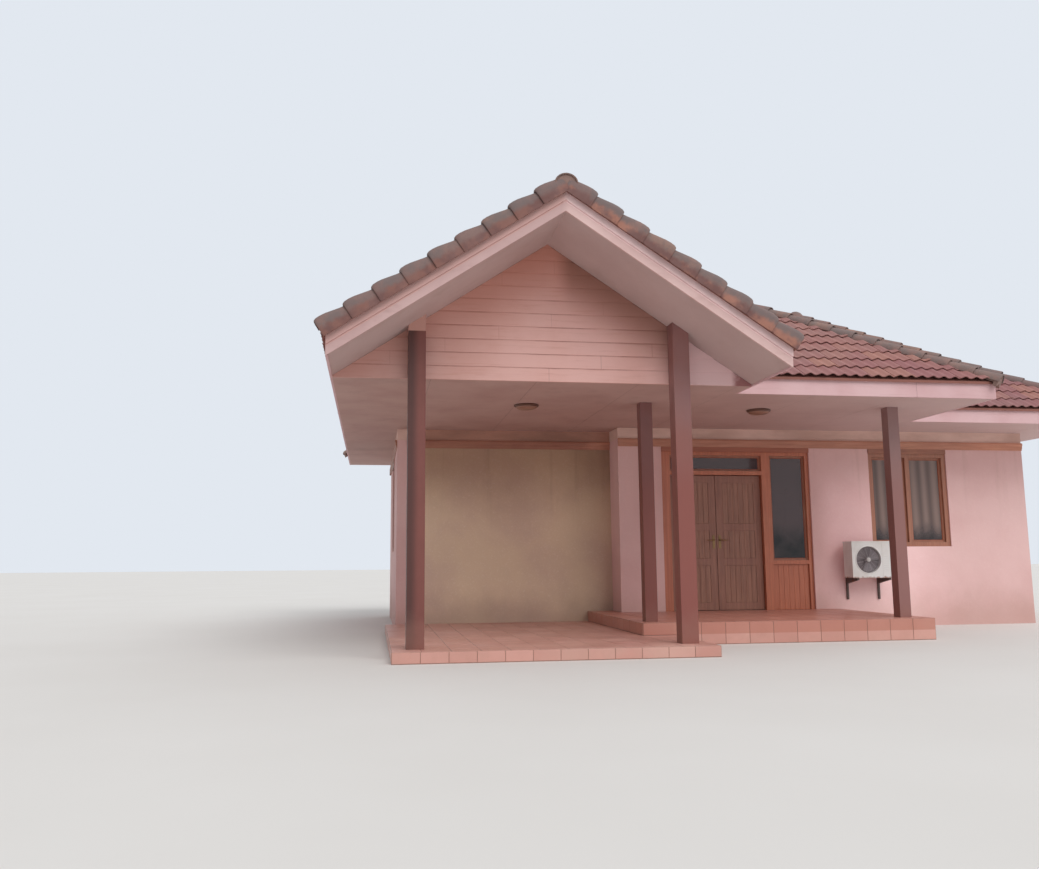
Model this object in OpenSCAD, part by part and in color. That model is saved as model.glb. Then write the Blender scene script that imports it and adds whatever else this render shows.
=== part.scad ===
// One-storey bungalow with a gabled carport, a hipped porch and a wing.
// X runs to the right along the front, Y runs back into the house and Z is up from the ground.
// The origin is on the ground, midway between the carport's front columns, at their front face.

/* [Plan] */
// Distance between the centres of the carport's front columns
carport_bay = 3000; // [2700:50:3400]
// Front face of the carport's columns to the carport's back wall
carport_depth = 4150; // [3950:50:4800]
// Outer face of the wall behind the porch to that of the carport's back wall
porch_step = 500; // [250:50:700]
// Front face of the carport's columns to the front of the porch's columns
porch_column_y = 1415; // [1300:5:1800]
// Distance between the centres of the porch's columns
porch_span = 3420; // [3300:20:3700]
// Right side of the return wall beside the porch, from the right column's centre
porch_return = 220; // [150:10:400]
// Right column of the porch to the outer face of the right wall
wing_reach = 3580; // [3300:20:4200]
// Length of the main ridge, which sets how far the house runs back
main_ridge = 360; // [200:20:1400]
// Outer face of the left wall to the centre of the left column
left_wall_set = 100; // [80:10:200]
// Reach of the carport's floor past the column centres and their front face
carport_floor_edge = 250; // [200:10:350]
// Reach of the porch's floor past the faces of its columns
porch_floor_edge = 200; // [150:10:300]
// Reach of the porch's floor into the carport, from the shared column's face
porch_floor_step = 100; // [60:10:160]

/* [Eaves] */
// Overhang of the gable in front of the columns
gable_overhang = 850; // [600:10:950]
// Overhang of the gable beside the column centres
side_overhang = 940; // [800:10:1000]
// Overhang of the porch's eave in front of its columns
porch_overhang = 735; // [500:5:760]
// Overhang of the porch's eave beside its right column
porch_side_overhang = 1000; // [800:10:1050]
// Overhang of the wing's eave in front of the wall
wing_overhang = 1050; // [800:10:1200]
// Overhang of the eaves on the right side and at the back
far_overhang = 750; // [600:10:900]
// Reach of the tiles past the fascia boards
tile_lip = 50; // [30:5:70]

/* [Heights] */
// Top of the carport's floor above the ground
carport_floor_h = 120; // [80:10:180]
// Top of the house's and porch's floor above the ground
floor_h = 270; // [220:10:340]
// Floor to ceiling
ceiling_h = 2775; // [2700:5:2900]
// Height of the fascia and barge boards
fascia_h = 205; // [160:5:240]
// Pitch of every roof slope in degrees
pitch = 33.5; // [30:0.5:35]

/* [Boards and slabs] */
// Thickness of the masonry walls
wall = 150; // [120:10:200]
// Thickness of the fascia, barge and siding boards
board = 25; // [18:1:30]
// Thickness of the ceiling boards
ceiling_t = 20; // [12:1:30]
// Thickness of battens and tiles, square to the slope
roof_t = 70; // [60:5:80]
// Side of the carport's columns
carport_column = 190; // [170:5:220]
// Side of the porch's columns
porch_column = 155; // [140:5:180]
// Visible height of one siding board
siding_board = 158; // [130:1:180]
// Step of one siding board over the next
siding_lap = 8; // [5:1:12]
// Gap between the carport's front columns and the siding behind them
siding_set = 5; // [2:1:10]
// Height of the narrow strip on the barge boards
barge_strip_h = 90; // [70:5:120]
// Thickness of the narrow strip on the barge boards
barge_strip_t = 15; // [10:1:25]
// Radius of the ridge and hip caps
cap_r = 115; // [95:5:130]
// Bedding gap between the caps and the slopes
cap_bed = 0.2; // [0.1:0.1:2]
// Width of the verge tiles on the slope
verge_w = 150; // [120:5:180]
// Height of the verge tiles above the slope
verge_h = 50; // [40:5:60]
// Thickness of the verge tiles' front flange
verge_t = 25; // [20:1:30]
// Drop of the verge tiles' front flange over the barge boards
verge_drop = 20; // [10:5:40]

/* [Entrance] */
// Left column of the porch to the entrance opening
entrance_x = 900; // [800:10:1000]
// Width of the whole entrance opening
entrance_w = 2400; // [2300:10:2500]
// Top of the entrance and windows above the floor
head_h = 2430; // [2380:10:2500]
// Width of the entrance's left post and of its mullion
post_w = 140; // [100:5:160]
// Width of the entrance's right jamb and of its head
jamb_w = 60; // [50:5:80]
// Depth of the door and window frames
frame_d = 110; // [90:5:120]
// Inner face of the wall to the inner face of the door frame
frame_set = 5; // [2:1:15]
// Clear width of the fixed side light
side_light_w = 580; // [520:10:620]
// Top of the side light's timber panel above the floor
side_panel_h = 690; // [600:10:800]
// Height of the door leaves
door_h = 2050; // [2000:10:2100]
// Thickness of the door leaves
door_t = 40; // [35:1:45]
// Running gap around the door leaves
door_gap = 8; // [6:1:10]
// Width of the stiles and rails of the door leaves
door_stile = 110; // [95:5:125]
// Height of the lowest door panel
low_panel_h = 560; // [500:10:600]
// Height of the middle door panel
mid_panel_h = 420; // [360:10:460]
// Depth of the sunk door panels in each face
panel_sink = 9; // [6:1:12]
// Thickness of the side light's timber panel
side_panel_t = 30; // [20:1:40]

/* [Windows] */
// Left edge of the front window from the porch's right column
window_x = 880; // [700:10:1000]
// Width of the front window
window_w = 1340; // [1200:10:1500]
// Sill of the windows above the floor
sill_h = 950; // [850:10:1050]
// Width of the windows in the side and back walls
side_window_w = 1200; // [1000:50:1300]
// Width of the frame members of the windows
window_bar = 70; // [55:5:80]
// Outer face of the wall to the outer face of a window frame
window_set = 20; // [5:1:30]
// Thickness of all glass
glass_t = 6; // [5:1:8]

/* [Trim] */
// Gap between the heads of the doors and windows and the dark moulding above
trim_gap = 60; // [40:5:75]
// Height of the dark moulding above the doors and windows
trim_h = 120; // [80:5:140]
// Reach of the dark moulding from the wall
trim_d = 30; // [20:2:40]
// Radius of the round ceiling lamps
lamp_r = 160; // [140:5:180]
// Depth of the round ceiling lamps
lamp_h = 70; // [50:5:90]
// Front face of the carport's columns to the centre of the carport's lamp
carport_lamp_y = 1770; // [1400:10:2200]
// Front face of the carport's columns to the centre of the porch's lamp
porch_lamp_y = 1840; // [1700:10:2400]

/* [Condenser] */
// Left side of the outdoor unit from the porch's right column
condenser_x = 310; // [200:10:360]
// Width of the outdoor unit
condenser_w = 700; // [660:10:800]
// Depth of the outdoor unit
condenser_d = 260; // [240:5:290]
// Height of the outdoor unit
condenser_h = 550; // [500:10:580]
// Bottom of the outdoor unit above the ground
condenser_z = 745; // [650:5:750]
// Gap between the outdoor unit and the wall
condenser_gap = 120; // [80:5:160]
// Radius of the outdoor unit's fan opening
fan_r = 200; // [180:5:220]
// Left side of the outdoor unit to the middle of its fan opening
fan_x = 265; // [250:5:320]
// Depth of the outdoor unit's fan opening
fan_depth = 60; // [40:5:100]
// Height of the outdoor unit's brackets
bracket_h = 330; // [280:10:400]
// Thickness of the outdoor unit's brackets
bracket_t = 30; // [20:1:40]
// Ends of the outdoor unit to the middle of its brackets
bracket_inset = 90; // [70:5:150]

/* [Hidden] */
slope = tan(pitch);
ceiling_z = floor_h + ceiling_h;
eave_z = ceiling_z + fascia_h;
head_z = floor_h + head_h;
roof_tv = roof_t / cos(pitch);
column_x = carport_bay / 2;
porch_right_x = column_x + porch_span;
return_x = column_x + porch_return;
left_x = -column_x - left_wall_set;
right_x = porch_right_x + wing_reach;
porch_wall_y = carport_depth - porch_step;

// Eave lines, at the outer faces of the fascia boards
eave_left = -column_x - side_overhang;
eave_gable = column_x + side_overhang;
eave_porch_x = porch_right_x + porch_side_overhang;
eave_porch_y = porch_column_y - porch_overhang;
eave_wing_y = porch_wall_y - wing_overhang;
eave_right = right_x + far_overhang;
gable_y = -gable_overhang;
siding_y = carport_column + siding_set;

// Half spans and ridge places that follow from the eave lines. The back eave lies as far behind
// the main ridge as the other eaves do, so every slope keeps one pitch.
gable_half = eave_gable;
main_half = (eave_porch_x - eave_left) / 2;
main_ridge_x = (eave_porch_x + eave_left) / 2;
main_ridge_y0 = eave_porch_y + main_half;
main_ridge_y1 = main_ridge_y0 + main_ridge;
eave_back = main_ridge_y1 + main_half;
back_y = eave_back - far_overhang;
wing_half = (eave_back - eave_wing_y) / 2;
wing_ridge_y = (eave_back + eave_wing_y) / 2;
wing_ridge_x0 = eave_porch_x - wing_half;
wing_ridge_x1 = eave_right - wing_half;
gable_end_y = eave_porch_y + gable_half;
function rise(run) = eave_z + run * slope;

// Entrance and window places
entrance_l = column_x + entrance_x;
entrance_r = entrance_l + entrance_w;
side_light_x = entrance_r - jamb_w - side_light_w;
mullion_x = side_light_x - post_w;
doorway_l = entrance_l + post_w;
doorway_w = mullion_x - doorway_l;
door_w = (doorway_w - 3 * door_gap) / 2;
door_top = floor_h + door_gap + door_h;
frame_y = porch_wall_y + wall - frame_d - frame_set;
door_y = porch_wall_y + wall - frame_set - door_t;
window_l = porch_right_x + window_x;
sill_z = floor_h + sill_h;
window_h = head_z - sill_z;
condenser_y = porch_wall_y - condenser_gap - condenser_d;
condenser_l = porch_right_x + condenser_x;
trim_z = head_z + trim_gap;

// Box between two corners
module block(a, b) {
    translate(a) cube(b - a);
}

// Outline drawn in X and Z, standing at y and t thick towards the back
module upright(y, t) {
    translate([0, y + t, 0]) rotate([90, 0, 0]) linear_extrude(t) children();
}

// Outline drawn in Y and Z, standing at x and t thick towards the right
module sideways(x, t) {
    translate([x, 0, 0]) rotate([90, 0, 90]) linear_extrude(t) children();
}

// One slope of the roof: a sloping slab cut to its outline in plan, with mitred edges
module slope_slab(plan, eave, turn) {
    reach = 2 * (eave_back - gable_y);
    intersection() {
        linear_extrude(2 * rise(main_half)) polygon(plan);
        translate([eave[0], eave[1], eave_z]) rotate([0, 0, turn]) rotate([0, -pitch, 0])
            translate([-tile_lip * 4, -reach, 0]) cube([reach, 2 * reach, roof_t]);
    }
}

// Left and front edges of the porch's floor
porch_floor_x = column_x - porch_column / 2 - porch_floor_step;
porch_floor_y = porch_column_y - porch_floor_edge;

module carport_floor() {
    reach = column_x + carport_floor_edge;
    color("rosybrown") linear_extrude(carport_floor_h) polygon([
        [-reach, -carport_floor_edge],
        [reach, -carport_floor_edge],
        [reach, porch_floor_y],
        [porch_floor_x, porch_floor_y],
        [porch_floor_x, carport_depth],
        [-reach, carport_depth]
    ]);
}

module porch_floor() {
    right = porch_right_x + porch_column / 2 + porch_floor_edge;
    color("rosybrown") linear_extrude(floor_h) polygon([
        [porch_floor_x, porch_floor_y],
        [right, porch_floor_y],
        [right, porch_wall_y],
        [return_x, porch_wall_y],
        [return_x, carport_depth],
        [porch_floor_x, carport_depth]
    ]);
}

module house_floor() {
    color("rosybrown") linear_extrude(floor_h) polygon([
        [left_x + wall, carport_depth + wall],
        [return_x + wall, carport_depth + wall],
        [return_x + wall, porch_wall_y + wall],
        [entrance_l, porch_wall_y + wall],
        [entrance_l, porch_wall_y],
        [entrance_r, porch_wall_y],
        [entrance_r, porch_wall_y + wall],
        [right_x - wall, porch_wall_y + wall],
        [right_x - wall, back_y - wall],
        [left_x + wall, back_y - wall]
    ]);
}

module carport_wall() {
    color("wheat")
        block([left_x + wall, carport_depth, 0], [return_x + wall, carport_depth + wall, ceiling_z]);
}

module return_wall() {
    color("salmon")
        block([return_x, porch_wall_y + wall, 0], [return_x + wall, carport_depth, ceiling_z]);
}

module porch_wall() {
    color("salmon")
        block([return_x, porch_wall_y, 0], [entrance_l, porch_wall_y + wall, ceiling_z]);
}

module entrance_lintel() {
    color("salmon")
        block([entrance_l, porch_wall_y, head_z], [entrance_r, porch_wall_y + wall, ceiling_z]);
}

module wing_wall() {
    color("salmon") difference() {
        block([entrance_r, porch_wall_y, 0], [right_x - wall, porch_wall_y + wall, ceiling_z]);
        block([window_l, porch_wall_y - 1, sill_z],
              [window_l + window_w, porch_wall_y + wall + 1, head_z]);
    }
}

// Centres of the windows in the side and back walls
left_window_y = (carport_depth + back_y) / 2;
right_window_ys = [porch_wall_y + (back_y - porch_wall_y) * 0.28,
                   porch_wall_y + (back_y - porch_wall_y) * 0.72];
back_window_xs = [left_x + (right_x - left_x) * 0.18, (left_x + right_x) / 2,
                  left_x + (right_x - left_x) * 0.82];

// Opening for a window in a side wall
module side_opening(x, y) {
    block([x - 1, y - side_window_w / 2, sill_z], [x + wall + 1, y + side_window_w / 2, head_z]);
}

module left_wall() {
    color("salmon") difference() {
        block([left_x, carport_depth, 0], [left_x + wall, back_y, ceiling_z]);
        side_opening(left_x, left_window_y);
    }
}

module right_wall() {
    color("salmon") difference() {
        block([right_x - wall, porch_wall_y, 0], [right_x, back_y, ceiling_z]);
        for (y = right_window_ys) side_opening(right_x - wall, y);
    }
}

module back_wall() {
    color("salmon") difference() {
        block([left_x + wall, back_y - wall, 0], [right_x - wall, back_y, ceiling_z]);
        for (x = back_window_xs)
            block([x - side_window_w / 2, back_y - wall - 1, sill_z],
                  [x + side_window_w / 2, back_y + 1, head_z]);
    }
}

// Carport column, up to the gable's sloping soffit
module carport_column(x) {
    l = x - carport_column / 2;
    r = x + carport_column / 2;
    color("maroon") upright(0, carport_column) polygon([
        [l, carport_floor_h], [r, carport_floor_h], [r, soffit_z(r)], [l, soffit_z(l)]]);
}

module porch_column(x) {
    color("maroon")
        block([x - porch_column / 2, porch_column_y, floor_h],
              [x + porch_column / 2, porch_column_y + porch_column, ceiling_z]);
}

// Height of the gable's sloping soffit over a place x
function soffit_z(x) = rise(gable_half - abs(x)) - fascia_h;

module gable_siding() {
    rows = ceil((soffit_z(0) - ceiling_z) / siding_board);
    half = gable_half - board;
    color("darksalmon") intersection() {
        upright(siding_y, board + siding_lap) polygon([
            [-half, ceiling_z], [half, ceiling_z], [half, soffit_z(half)],
            [0, soffit_z(0)], [-half, soffit_z(half)]]);
        union() {
            for (i = [0 : rows - 1]) sideways(-half, 2 * half) polygon([
                [siding_y, ceiling_z + i * siding_board],
                [siding_y + board + siding_lap, ceiling_z + i * siding_board],
                [siding_y + board + siding_lap, ceiling_z + (i + 1) * siding_board],
                [siding_y + siding_lap, ceiling_z + (i + 1) * siding_board]]);
        }
    }
}

// Half of the barge, for the right side
module barge() {
    upright(gable_y, board) polygon([
        [0, rise(gable_half)], [gable_half, rise(0)],
        [gable_half, rise(0) - fascia_h], [0, rise(gable_half) - fascia_h]]);
    upright(gable_y - barge_strip_t, barge_strip_t) polygon([
        [0, rise(gable_half)], [gable_half, rise(0)],
        [gable_half, rise(0) - barge_strip_h], [0, rise(gable_half) - barge_strip_h]]);
}

module left_barge_board() {
    color("pink") mirror([1, 0, 0]) barge();
}

module right_barge_board() {
    color("pink") barge();
}

// Sloping boards under the gable's overhang, between the barge boards and the siding
module gable_soffit() {
    half = gable_half - board;
    color("rosybrown") upright(gable_y + board, siding_y - gable_y - board) polygon([
        [0, soffit_z(0)], [half, soffit_z(half)], [half, soffit_z(half) + ceiling_t],
        [0, soffit_z(0) + ceiling_t], [-half, soffit_z(half) + ceiling_t], [-half, soffit_z(half)]]);
}

// Flat board at ceiling level with the given outline in plan
module ceiling(plan) {
    translate([0, 0, ceiling_z]) linear_extrude(ceiling_t) polygon(plan);
}

siding_back = siding_y + board + siding_lap;

module carport_ceiling() {
    color("tan") ceiling([
        [eave_left + board, siding_back], [eave_gable - board, siding_back],
        [eave_gable - board, eave_porch_y + board], [column_x, eave_porch_y + board],
        [column_x, carport_depth], [eave_left + board, carport_depth]]);
}

module porch_ceiling() {
    color("tan") ceiling([
        [column_x, eave_porch_y + board], [eave_porch_x - board, eave_porch_y + board],
        [eave_porch_x - board, porch_wall_y], [return_x, porch_wall_y],
        [return_x, carport_depth], [column_x, carport_depth]]);
}

module eaves_soffit() {
    color("tan") ceiling([
        [eave_porch_x - board, eave_wing_y + board], [eave_right - board, eave_wing_y + board],
        [eave_right - board, eave_back - board], [eave_left + board, eave_back - board],
        [eave_left + board, carport_depth], [left_x, carport_depth],
        [left_x, back_y], [right_x, back_y],
        [right_x, porch_wall_y], [eave_porch_x - board, porch_wall_y]]);
}

module house_ceiling() {
    color("white") ceiling([
        [left_x, carport_depth], [return_x, carport_depth], [return_x, porch_wall_y],
        [right_x, porch_wall_y], [right_x, back_y], [left_x, back_y]]);
}

module porch_fascia() {
    color("pink") {
        block([eave_gable - board, eave_porch_y, ceiling_z],
              [eave_porch_x, eave_porch_y + board, eave_z]);
        block([eave_porch_x - board, eave_porch_y, ceiling_z],
              [eave_porch_x, eave_wing_y, eave_z]);
    }
}

module wing_fascia() {
    color("pink") {
        block([eave_porch_x - board, eave_wing_y, ceiling_z],
              [eave_right, eave_wing_y + board, eave_z]);
        block([eave_right - board, eave_wing_y, ceiling_z], [eave_right, eave_back, eave_z]);
    }
}

module back_fascia() {
    color("pink")
        block([eave_left, eave_back - board, ceiling_z], [eave_right - board, eave_back, eave_z]);
}

module left_fascia() {
    color("pink")
        block([eave_left, gable_y + board, ceiling_z], [eave_left + board, eave_back - board, eave_z]);
}

module gable_fascia() {
    color("pink")
        block([eave_gable - board, gable_y + board, ceiling_z], [eave_gable, eave_porch_y, eave_z]);
}

// Outer edges of the tiles
tile_left = eave_left - tile_lip;
tile_gable = eave_gable + tile_lip;
tile_porch_x = eave_porch_x + tile_lip;
tile_porch_y = eave_porch_y - tile_lip;
tile_wing_y = eave_wing_y - tile_lip;
tile_right = eave_right + tile_lip;
tile_back = eave_back + tile_lip;
tile_gable_y = gable_y - tile_lip;

module left_slope() {
    color("brown") slope_slab([
        [tile_left, tile_gable_y], [0, tile_gable_y], [0, gable_end_y],
        [main_ridge_x, main_ridge_y0], [main_ridge_x, main_ridge_y1], [tile_left, tile_back]],
        [eave_left, 0], 0);
}

module gable_right_slope() {
    color("brown") slope_slab([
        [0, tile_gable_y], [tile_gable, tile_gable_y],
        [tile_gable, tile_porch_y], [0, gable_end_y]],
        [eave_gable, 0], 180);
}

module porch_front_slope() {
    color("brown") slope_slab([
        [tile_gable, tile_porch_y], [tile_porch_x, tile_porch_y],
        [main_ridge_x, main_ridge_y0], [0, gable_end_y]],
        [0, eave_porch_y], 90);
}

module porch_right_slope() {
    color("brown") slope_slab([
        [tile_porch_x, tile_porch_y], [tile_porch_x, tile_wing_y], [wing_ridge_x0, wing_ridge_y],
        [main_ridge_x, main_ridge_y1], [main_ridge_x, main_ridge_y0]],
        [eave_porch_x, 0], 180);
}

module wing_front_slope() {
    color("brown") slope_slab([
        [tile_porch_x, tile_wing_y], [tile_right, tile_wing_y],
        [wing_ridge_x1, wing_ridge_y], [wing_ridge_x0, wing_ridge_y]],
        [0, eave_wing_y], 90);
}

module wing_right_slope() {
    color("brown") slope_slab([
        [tile_right, tile_wing_y], [tile_right, tile_back], [wing_ridge_x1, wing_ridge_y]],
        [eave_right, 0], 180);
}

module back_slope() {
    color("brown") slope_slab([
        [tile_right, tile_back], [tile_left, tile_back], [main_ridge_x, main_ridge_y1],
        [wing_ridge_x0, wing_ridge_y], [wing_ridge_x1, wing_ridge_y]],
        [0, eave_back], -90);
}

// Half-round cap from a to b, whose underside fits slopes that fall away by v to 1 on both sides
module cap(a, b, v) {
    d = b - a;
    span = norm(d);
    tilt = acos(d[2] / span);
    fall = v * sin(tilt);
    translate([a[0], a[1], a[2] + roof_tv + cap_bed]) rotate([0, tilt, atan2(d[1], d[0])])
        linear_extrude(span) polygon(concat(
            [for (i = [0 : 12]) [fall * cap_r - cap_r * sin(i * 15), cap_r * cos(i * 15)]],
            [[0, 0]]));
}

// A place on a ridge or hip, over x and y, at the height that a run from the eave gives
function roof_point(x, y, run) = [x, y, rise(run)];

// Where ridges and hips meet, each named by its place in plan and its run from the eave
gable_end = roof_point(0, gable_end_y, gable_half);
main_front = roof_point(main_ridge_x, main_ridge_y0, main_half);
main_back = roof_point(main_ridge_x, main_ridge_y1, main_half);
wing_left = roof_point(wing_ridge_x0, wing_ridge_y, wing_half);
wing_right = roof_point(wing_ridge_x1, wing_ridge_y, wing_half);

// The place at a distance d from a on the way to b
function towards(a, b, d) = a + (b - a) * d / norm(b - a);

// Caps stop short of the crowns, and of each other where a ridge turns into a hip
crown_r = 1.2 * cap_r;
crown_stop = 1.42 * cap_r;
ridge_stop = 1.05 * cap_r;
hip_stop = 0.2 * cap_r;

// Cap between two places, stopping short of each
module cap_between(a, b, v, stop_a, stop_b) {
    cap(towards(a, b, stop_a), towards(b, a, stop_b), v);
}

// Crown over a place where two hips meet a ridge, cut to the slopes under it
module crown(at) {
    translate(at + [0, 0, 4]) difference() {
        cylinder(h = roof_tv + cap_r * (1 - slope) + 6, r1 = crown_r, r2 = crown_r * 0.6, $fn = 48);
        translate(-at - [0, 0, 4]) children();
    }
}

module ridge_caps() {
    color("firebrick") {
        cap_between(roof_point(0, tile_gable_y, gable_half), gable_end, slope, 0, ridge_stop);
        cap_between(main_front, main_back, slope, crown_stop, crown_stop);
        cap_between(wing_left, wing_right, slope, ridge_stop, crown_stop);
        crown(main_front) { left_slope(); porch_front_slope(); porch_right_slope(); }
        crown(main_back) { left_slope(); porch_right_slope(); back_slope(); }
        crown(wing_right) { wing_front_slope(); wing_right_slope(); back_slope(); }
    }
}

module hip_caps() {
    v = slope / sqrt(2);
    color("firebrick") {
        cap_between(roof_point(tile_porch_x, tile_porch_y, -tile_lip), main_front, v, 0, crown_stop);
        cap_between(gable_end, main_front, v, hip_stop, crown_stop);
        cap_between(roof_point(tile_left, tile_back, -tile_lip), main_back, v, 0, crown_stop);
        cap_between(wing_left, main_back, v, hip_stop, crown_stop);
        cap_between(roof_point(tile_right, tile_wing_y, -tile_lip), wing_right, v, 0, crown_stop);
        cap_between(roof_point(tile_right, tile_back, -tile_lip), wing_right, v, 0, crown_stop);
    }
}

// Verge tiles along one side of the gable: a flange on the slope and one down its edge
module verge() {
    low = rise(-tile_lip);
    top = rise(gable_half);
    beside = cap_r + verge_drop / 4;
    upright(tile_gable_y, verge_w) polygon([
        [beside, top + roof_tv - beside * slope], [tile_gable, low + roof_tv],
        [tile_gable, low + roof_tv + verge_h], [beside, top + roof_tv + verge_h - beside * slope]]);
    upright(tile_gable_y - verge_t, verge_t) polygon([
        [0, top - verge_drop], [tile_gable, low - verge_drop],
        [tile_gable, low + roof_tv + verge_h], [0, top + roof_tv + verge_h]]);
}

module verge_caps() {
    color("firebrick") {
        verge();
        mirror([1, 0, 0]) verge();
    }
}

module carport_moulding() {
    color("saddlebrown")
        block([left_x + wall, carport_depth - trim_d, trim_z], [return_x, carport_depth, trim_z + trim_h]);
}

module porch_moulding() {
    color("saddlebrown")
        block([return_x, porch_wall_y - trim_d, trim_z], [right_x, porch_wall_y, trim_z + trim_h]);
}

module entrance_frame() {
    back = frame_y + frame_d;
    color("chocolate") {
        block([entrance_l, frame_y, floor_h], [doorway_l, back, head_z]);
        block([mullion_x, frame_y, floor_h], [side_light_x, back, head_z]);
        block([entrance_r - jamb_w, frame_y, floor_h], [entrance_r, back, head_z]);
        block([entrance_l, frame_y, head_z - jamb_w], [entrance_r, back, head_z]);
        block([doorway_l, frame_y, door_top + door_gap],
              [mullion_x, back, door_top + door_gap + jamb_w]);
        block([side_light_x, frame_y, floor_h + side_panel_h],
              [entrance_r - jamb_w, back, floor_h + side_panel_h + jamb_w]);
    }
}

// Door leaf with panels sunk in both faces, its hinge edge at x = 0 and its outer face at y = 0
module door_leaf() {
    panel_w = door_w - 2 * door_stile;
    mid_z = 2 * door_stile + low_panel_h;
    top_z = mid_z + mid_panel_h + door_stile;
    rows = [[door_stile, low_panel_h], [mid_z, mid_panel_h], [top_z, door_h - door_stile - top_z]];
    difference() {
        cube([door_w, door_t, door_h]);
        for (row = rows, y = [-1, door_t - panel_sink])
            translate([door_stile, y, row[0]]) cube([panel_w, panel_sink + 1, row[1]]);
    }
}

module left_door() {
    color("sienna") translate([doorway_l + door_gap, door_y, floor_h + door_gap]) door_leaf();
}

module right_door() {
    color("sienna") translate([mullion_x - door_gap, door_y, floor_h + door_gap])
        mirror([1, 0, 0]) door_leaf();
}

module side_light_panel() {
    mid = frame_y + frame_d / 2;
    color("chocolate")
        block([side_light_x, mid - side_panel_t / 2, floor_h],
              [entrance_r - jamb_w, mid + side_panel_t / 2, floor_h + side_panel_h]);
}

// Window frame standing in X and Z with one mullion, w wide and h high, its corner at the origin
module window_frame(w, h) {
    difference() {
        cube([w, frame_d, h]);
        for (x = [window_bar, (w + window_bar) / 2])
            translate([x, -1, window_bar])
                cube([(w - 3 * window_bar) / 2, frame_d + 2, h - 2 * window_bar]);
    }
}

module front_window_frame() {
    color("chocolate") translate([window_l, porch_wall_y + window_set, sill_z])
        window_frame(window_w, window_h);
}

module side_window_frames() {
    color("chocolate") {
        translate([left_x + window_set, left_window_y + side_window_w / 2, sill_z])
            rotate([0, 0, -90]) window_frame(side_window_w, window_h);
        for (y = right_window_ys)
            translate([right_x - window_set, y - side_window_w / 2, sill_z])
                rotate([0, 0, 90]) window_frame(side_window_w, window_h);
        for (x = back_window_xs)
            translate([x + side_window_w / 2, back_y - window_set, sill_z])
                rotate([0, 0, 180]) window_frame(side_window_w, window_h);
    }
}

// Panes between the members of a window frame
module window_panes(w, h) {
    for (x = [window_bar, (w + window_bar) / 2])
        translate([x, frame_d / 2, window_bar])
            cube([(w - 3 * window_bar) / 2, glass_t, h - 2 * window_bar]);
}

module window_glass() {
    mid = frame_y + frame_d / 2;
    color("lightblue", 0.5) {
        translate([window_l, porch_wall_y + window_set, sill_z]) window_panes(window_w, window_h);
        block([side_light_x, mid, floor_h + side_panel_h + jamb_w],
              [entrance_r - jamb_w, mid + glass_t, head_z - jamb_w]);
        block([doorway_l, mid, door_top + door_gap + jamb_w],
              [mullion_x, mid + glass_t, head_z - jamb_w]);
        translate([left_x + window_set, left_window_y + side_window_w / 2, sill_z])
            rotate([0, 0, -90]) window_panes(side_window_w, window_h);
        for (y = right_window_ys)
            translate([right_x - window_set, y - side_window_w / 2, sill_z])
                rotate([0, 0, 90]) window_panes(side_window_w, window_h);
        for (x = back_window_xs)
            translate([x + side_window_w / 2, back_y - window_set, sill_z])
                rotate([0, 0, 180]) window_panes(side_window_w, window_h);
    }
}

// Round lamp with a shallow bowl, hanging from the ceiling
module lamp(x, y) {
    translate([x, y, ceiling_z]) mirror([0, 0, 1]) {
        cylinder(h = lamp_h * 0.4, r = lamp_r, $fn = 96);
        translate([0, 0, lamp_h * 0.4])
            cylinder(h = lamp_h * 0.6, r1 = lamp_r * 0.9, r2 = lamp_r * 0.6, $fn = 96);
    }
}

module carport_lamp() {
    color("ivory") lamp(0, carport_lamp_y);
}

module porch_lamp() {
    color("ivory") lamp((column_x + porch_right_x) / 2, porch_lamp_y);
}

module condenser() {
    color("white") difference() {
        block([condenser_l, condenser_y, condenser_z],
              [condenser_l + condenser_w, condenser_y + condenser_d, condenser_z + condenser_h]);
        translate([condenser_l + fan_x, condenser_y - 1, condenser_z + condenser_h / 2])
            rotate([-90, 0, 0]) cylinder(h = fan_depth + 1, r = fan_r, $fn = 96);
    }
}

// Two wall brackets under the outdoor unit
module condenser_bracket() {
    front = condenser_y + bracket_t / 2;
    color("dimgray") for (x = [condenser_l + bracket_inset, condenser_l + condenser_w - bracket_inset])
        sideways(x - bracket_t / 2, bracket_t) polygon([
            [front, condenser_z], [porch_wall_y, condenser_z],
            [porch_wall_y, condenser_z - bracket_h], [porch_wall_y - bracket_t, condenser_z - bracket_h],
            [porch_wall_y - bracket_t, condenser_z - 3 * bracket_t], [front, condenser_z - bracket_t]]);
}

carport_floor();
porch_floor();
house_floor();
carport_wall();
return_wall();
porch_wall();
entrance_lintel();
wing_wall();
left_wall();
right_wall();
back_wall();
carport_column(-column_x);  // carport_column_left
carport_column(column_x);  // carport_column_right
porch_column(column_x);  // porch_column_left
porch_column(porch_right_x);  // porch_column_right
gable_siding();
left_barge_board();
right_barge_board();
gable_soffit();
carport_ceiling();
porch_ceiling();
eaves_soffit();
house_ceiling();
porch_fascia();
wing_fascia();
back_fascia();
left_fascia();
gable_fascia();
left_slope();
gable_right_slope();
porch_front_slope();
porch_right_slope();
wing_front_slope();
wing_right_slope();
back_slope();
ridge_caps();
hip_caps();
verge_caps();
carport_moulding();
porch_moulding();
entrance_frame();
left_door();
right_door();
side_light_panel();
front_window_frame();
side_window_frames();
window_glass();
carport_lamp();
porch_lamp();
condenser();
condenser_bracket();
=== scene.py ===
import math
import random

import bmesh
import bpy
from mathutils import Matrix, Vector


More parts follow.
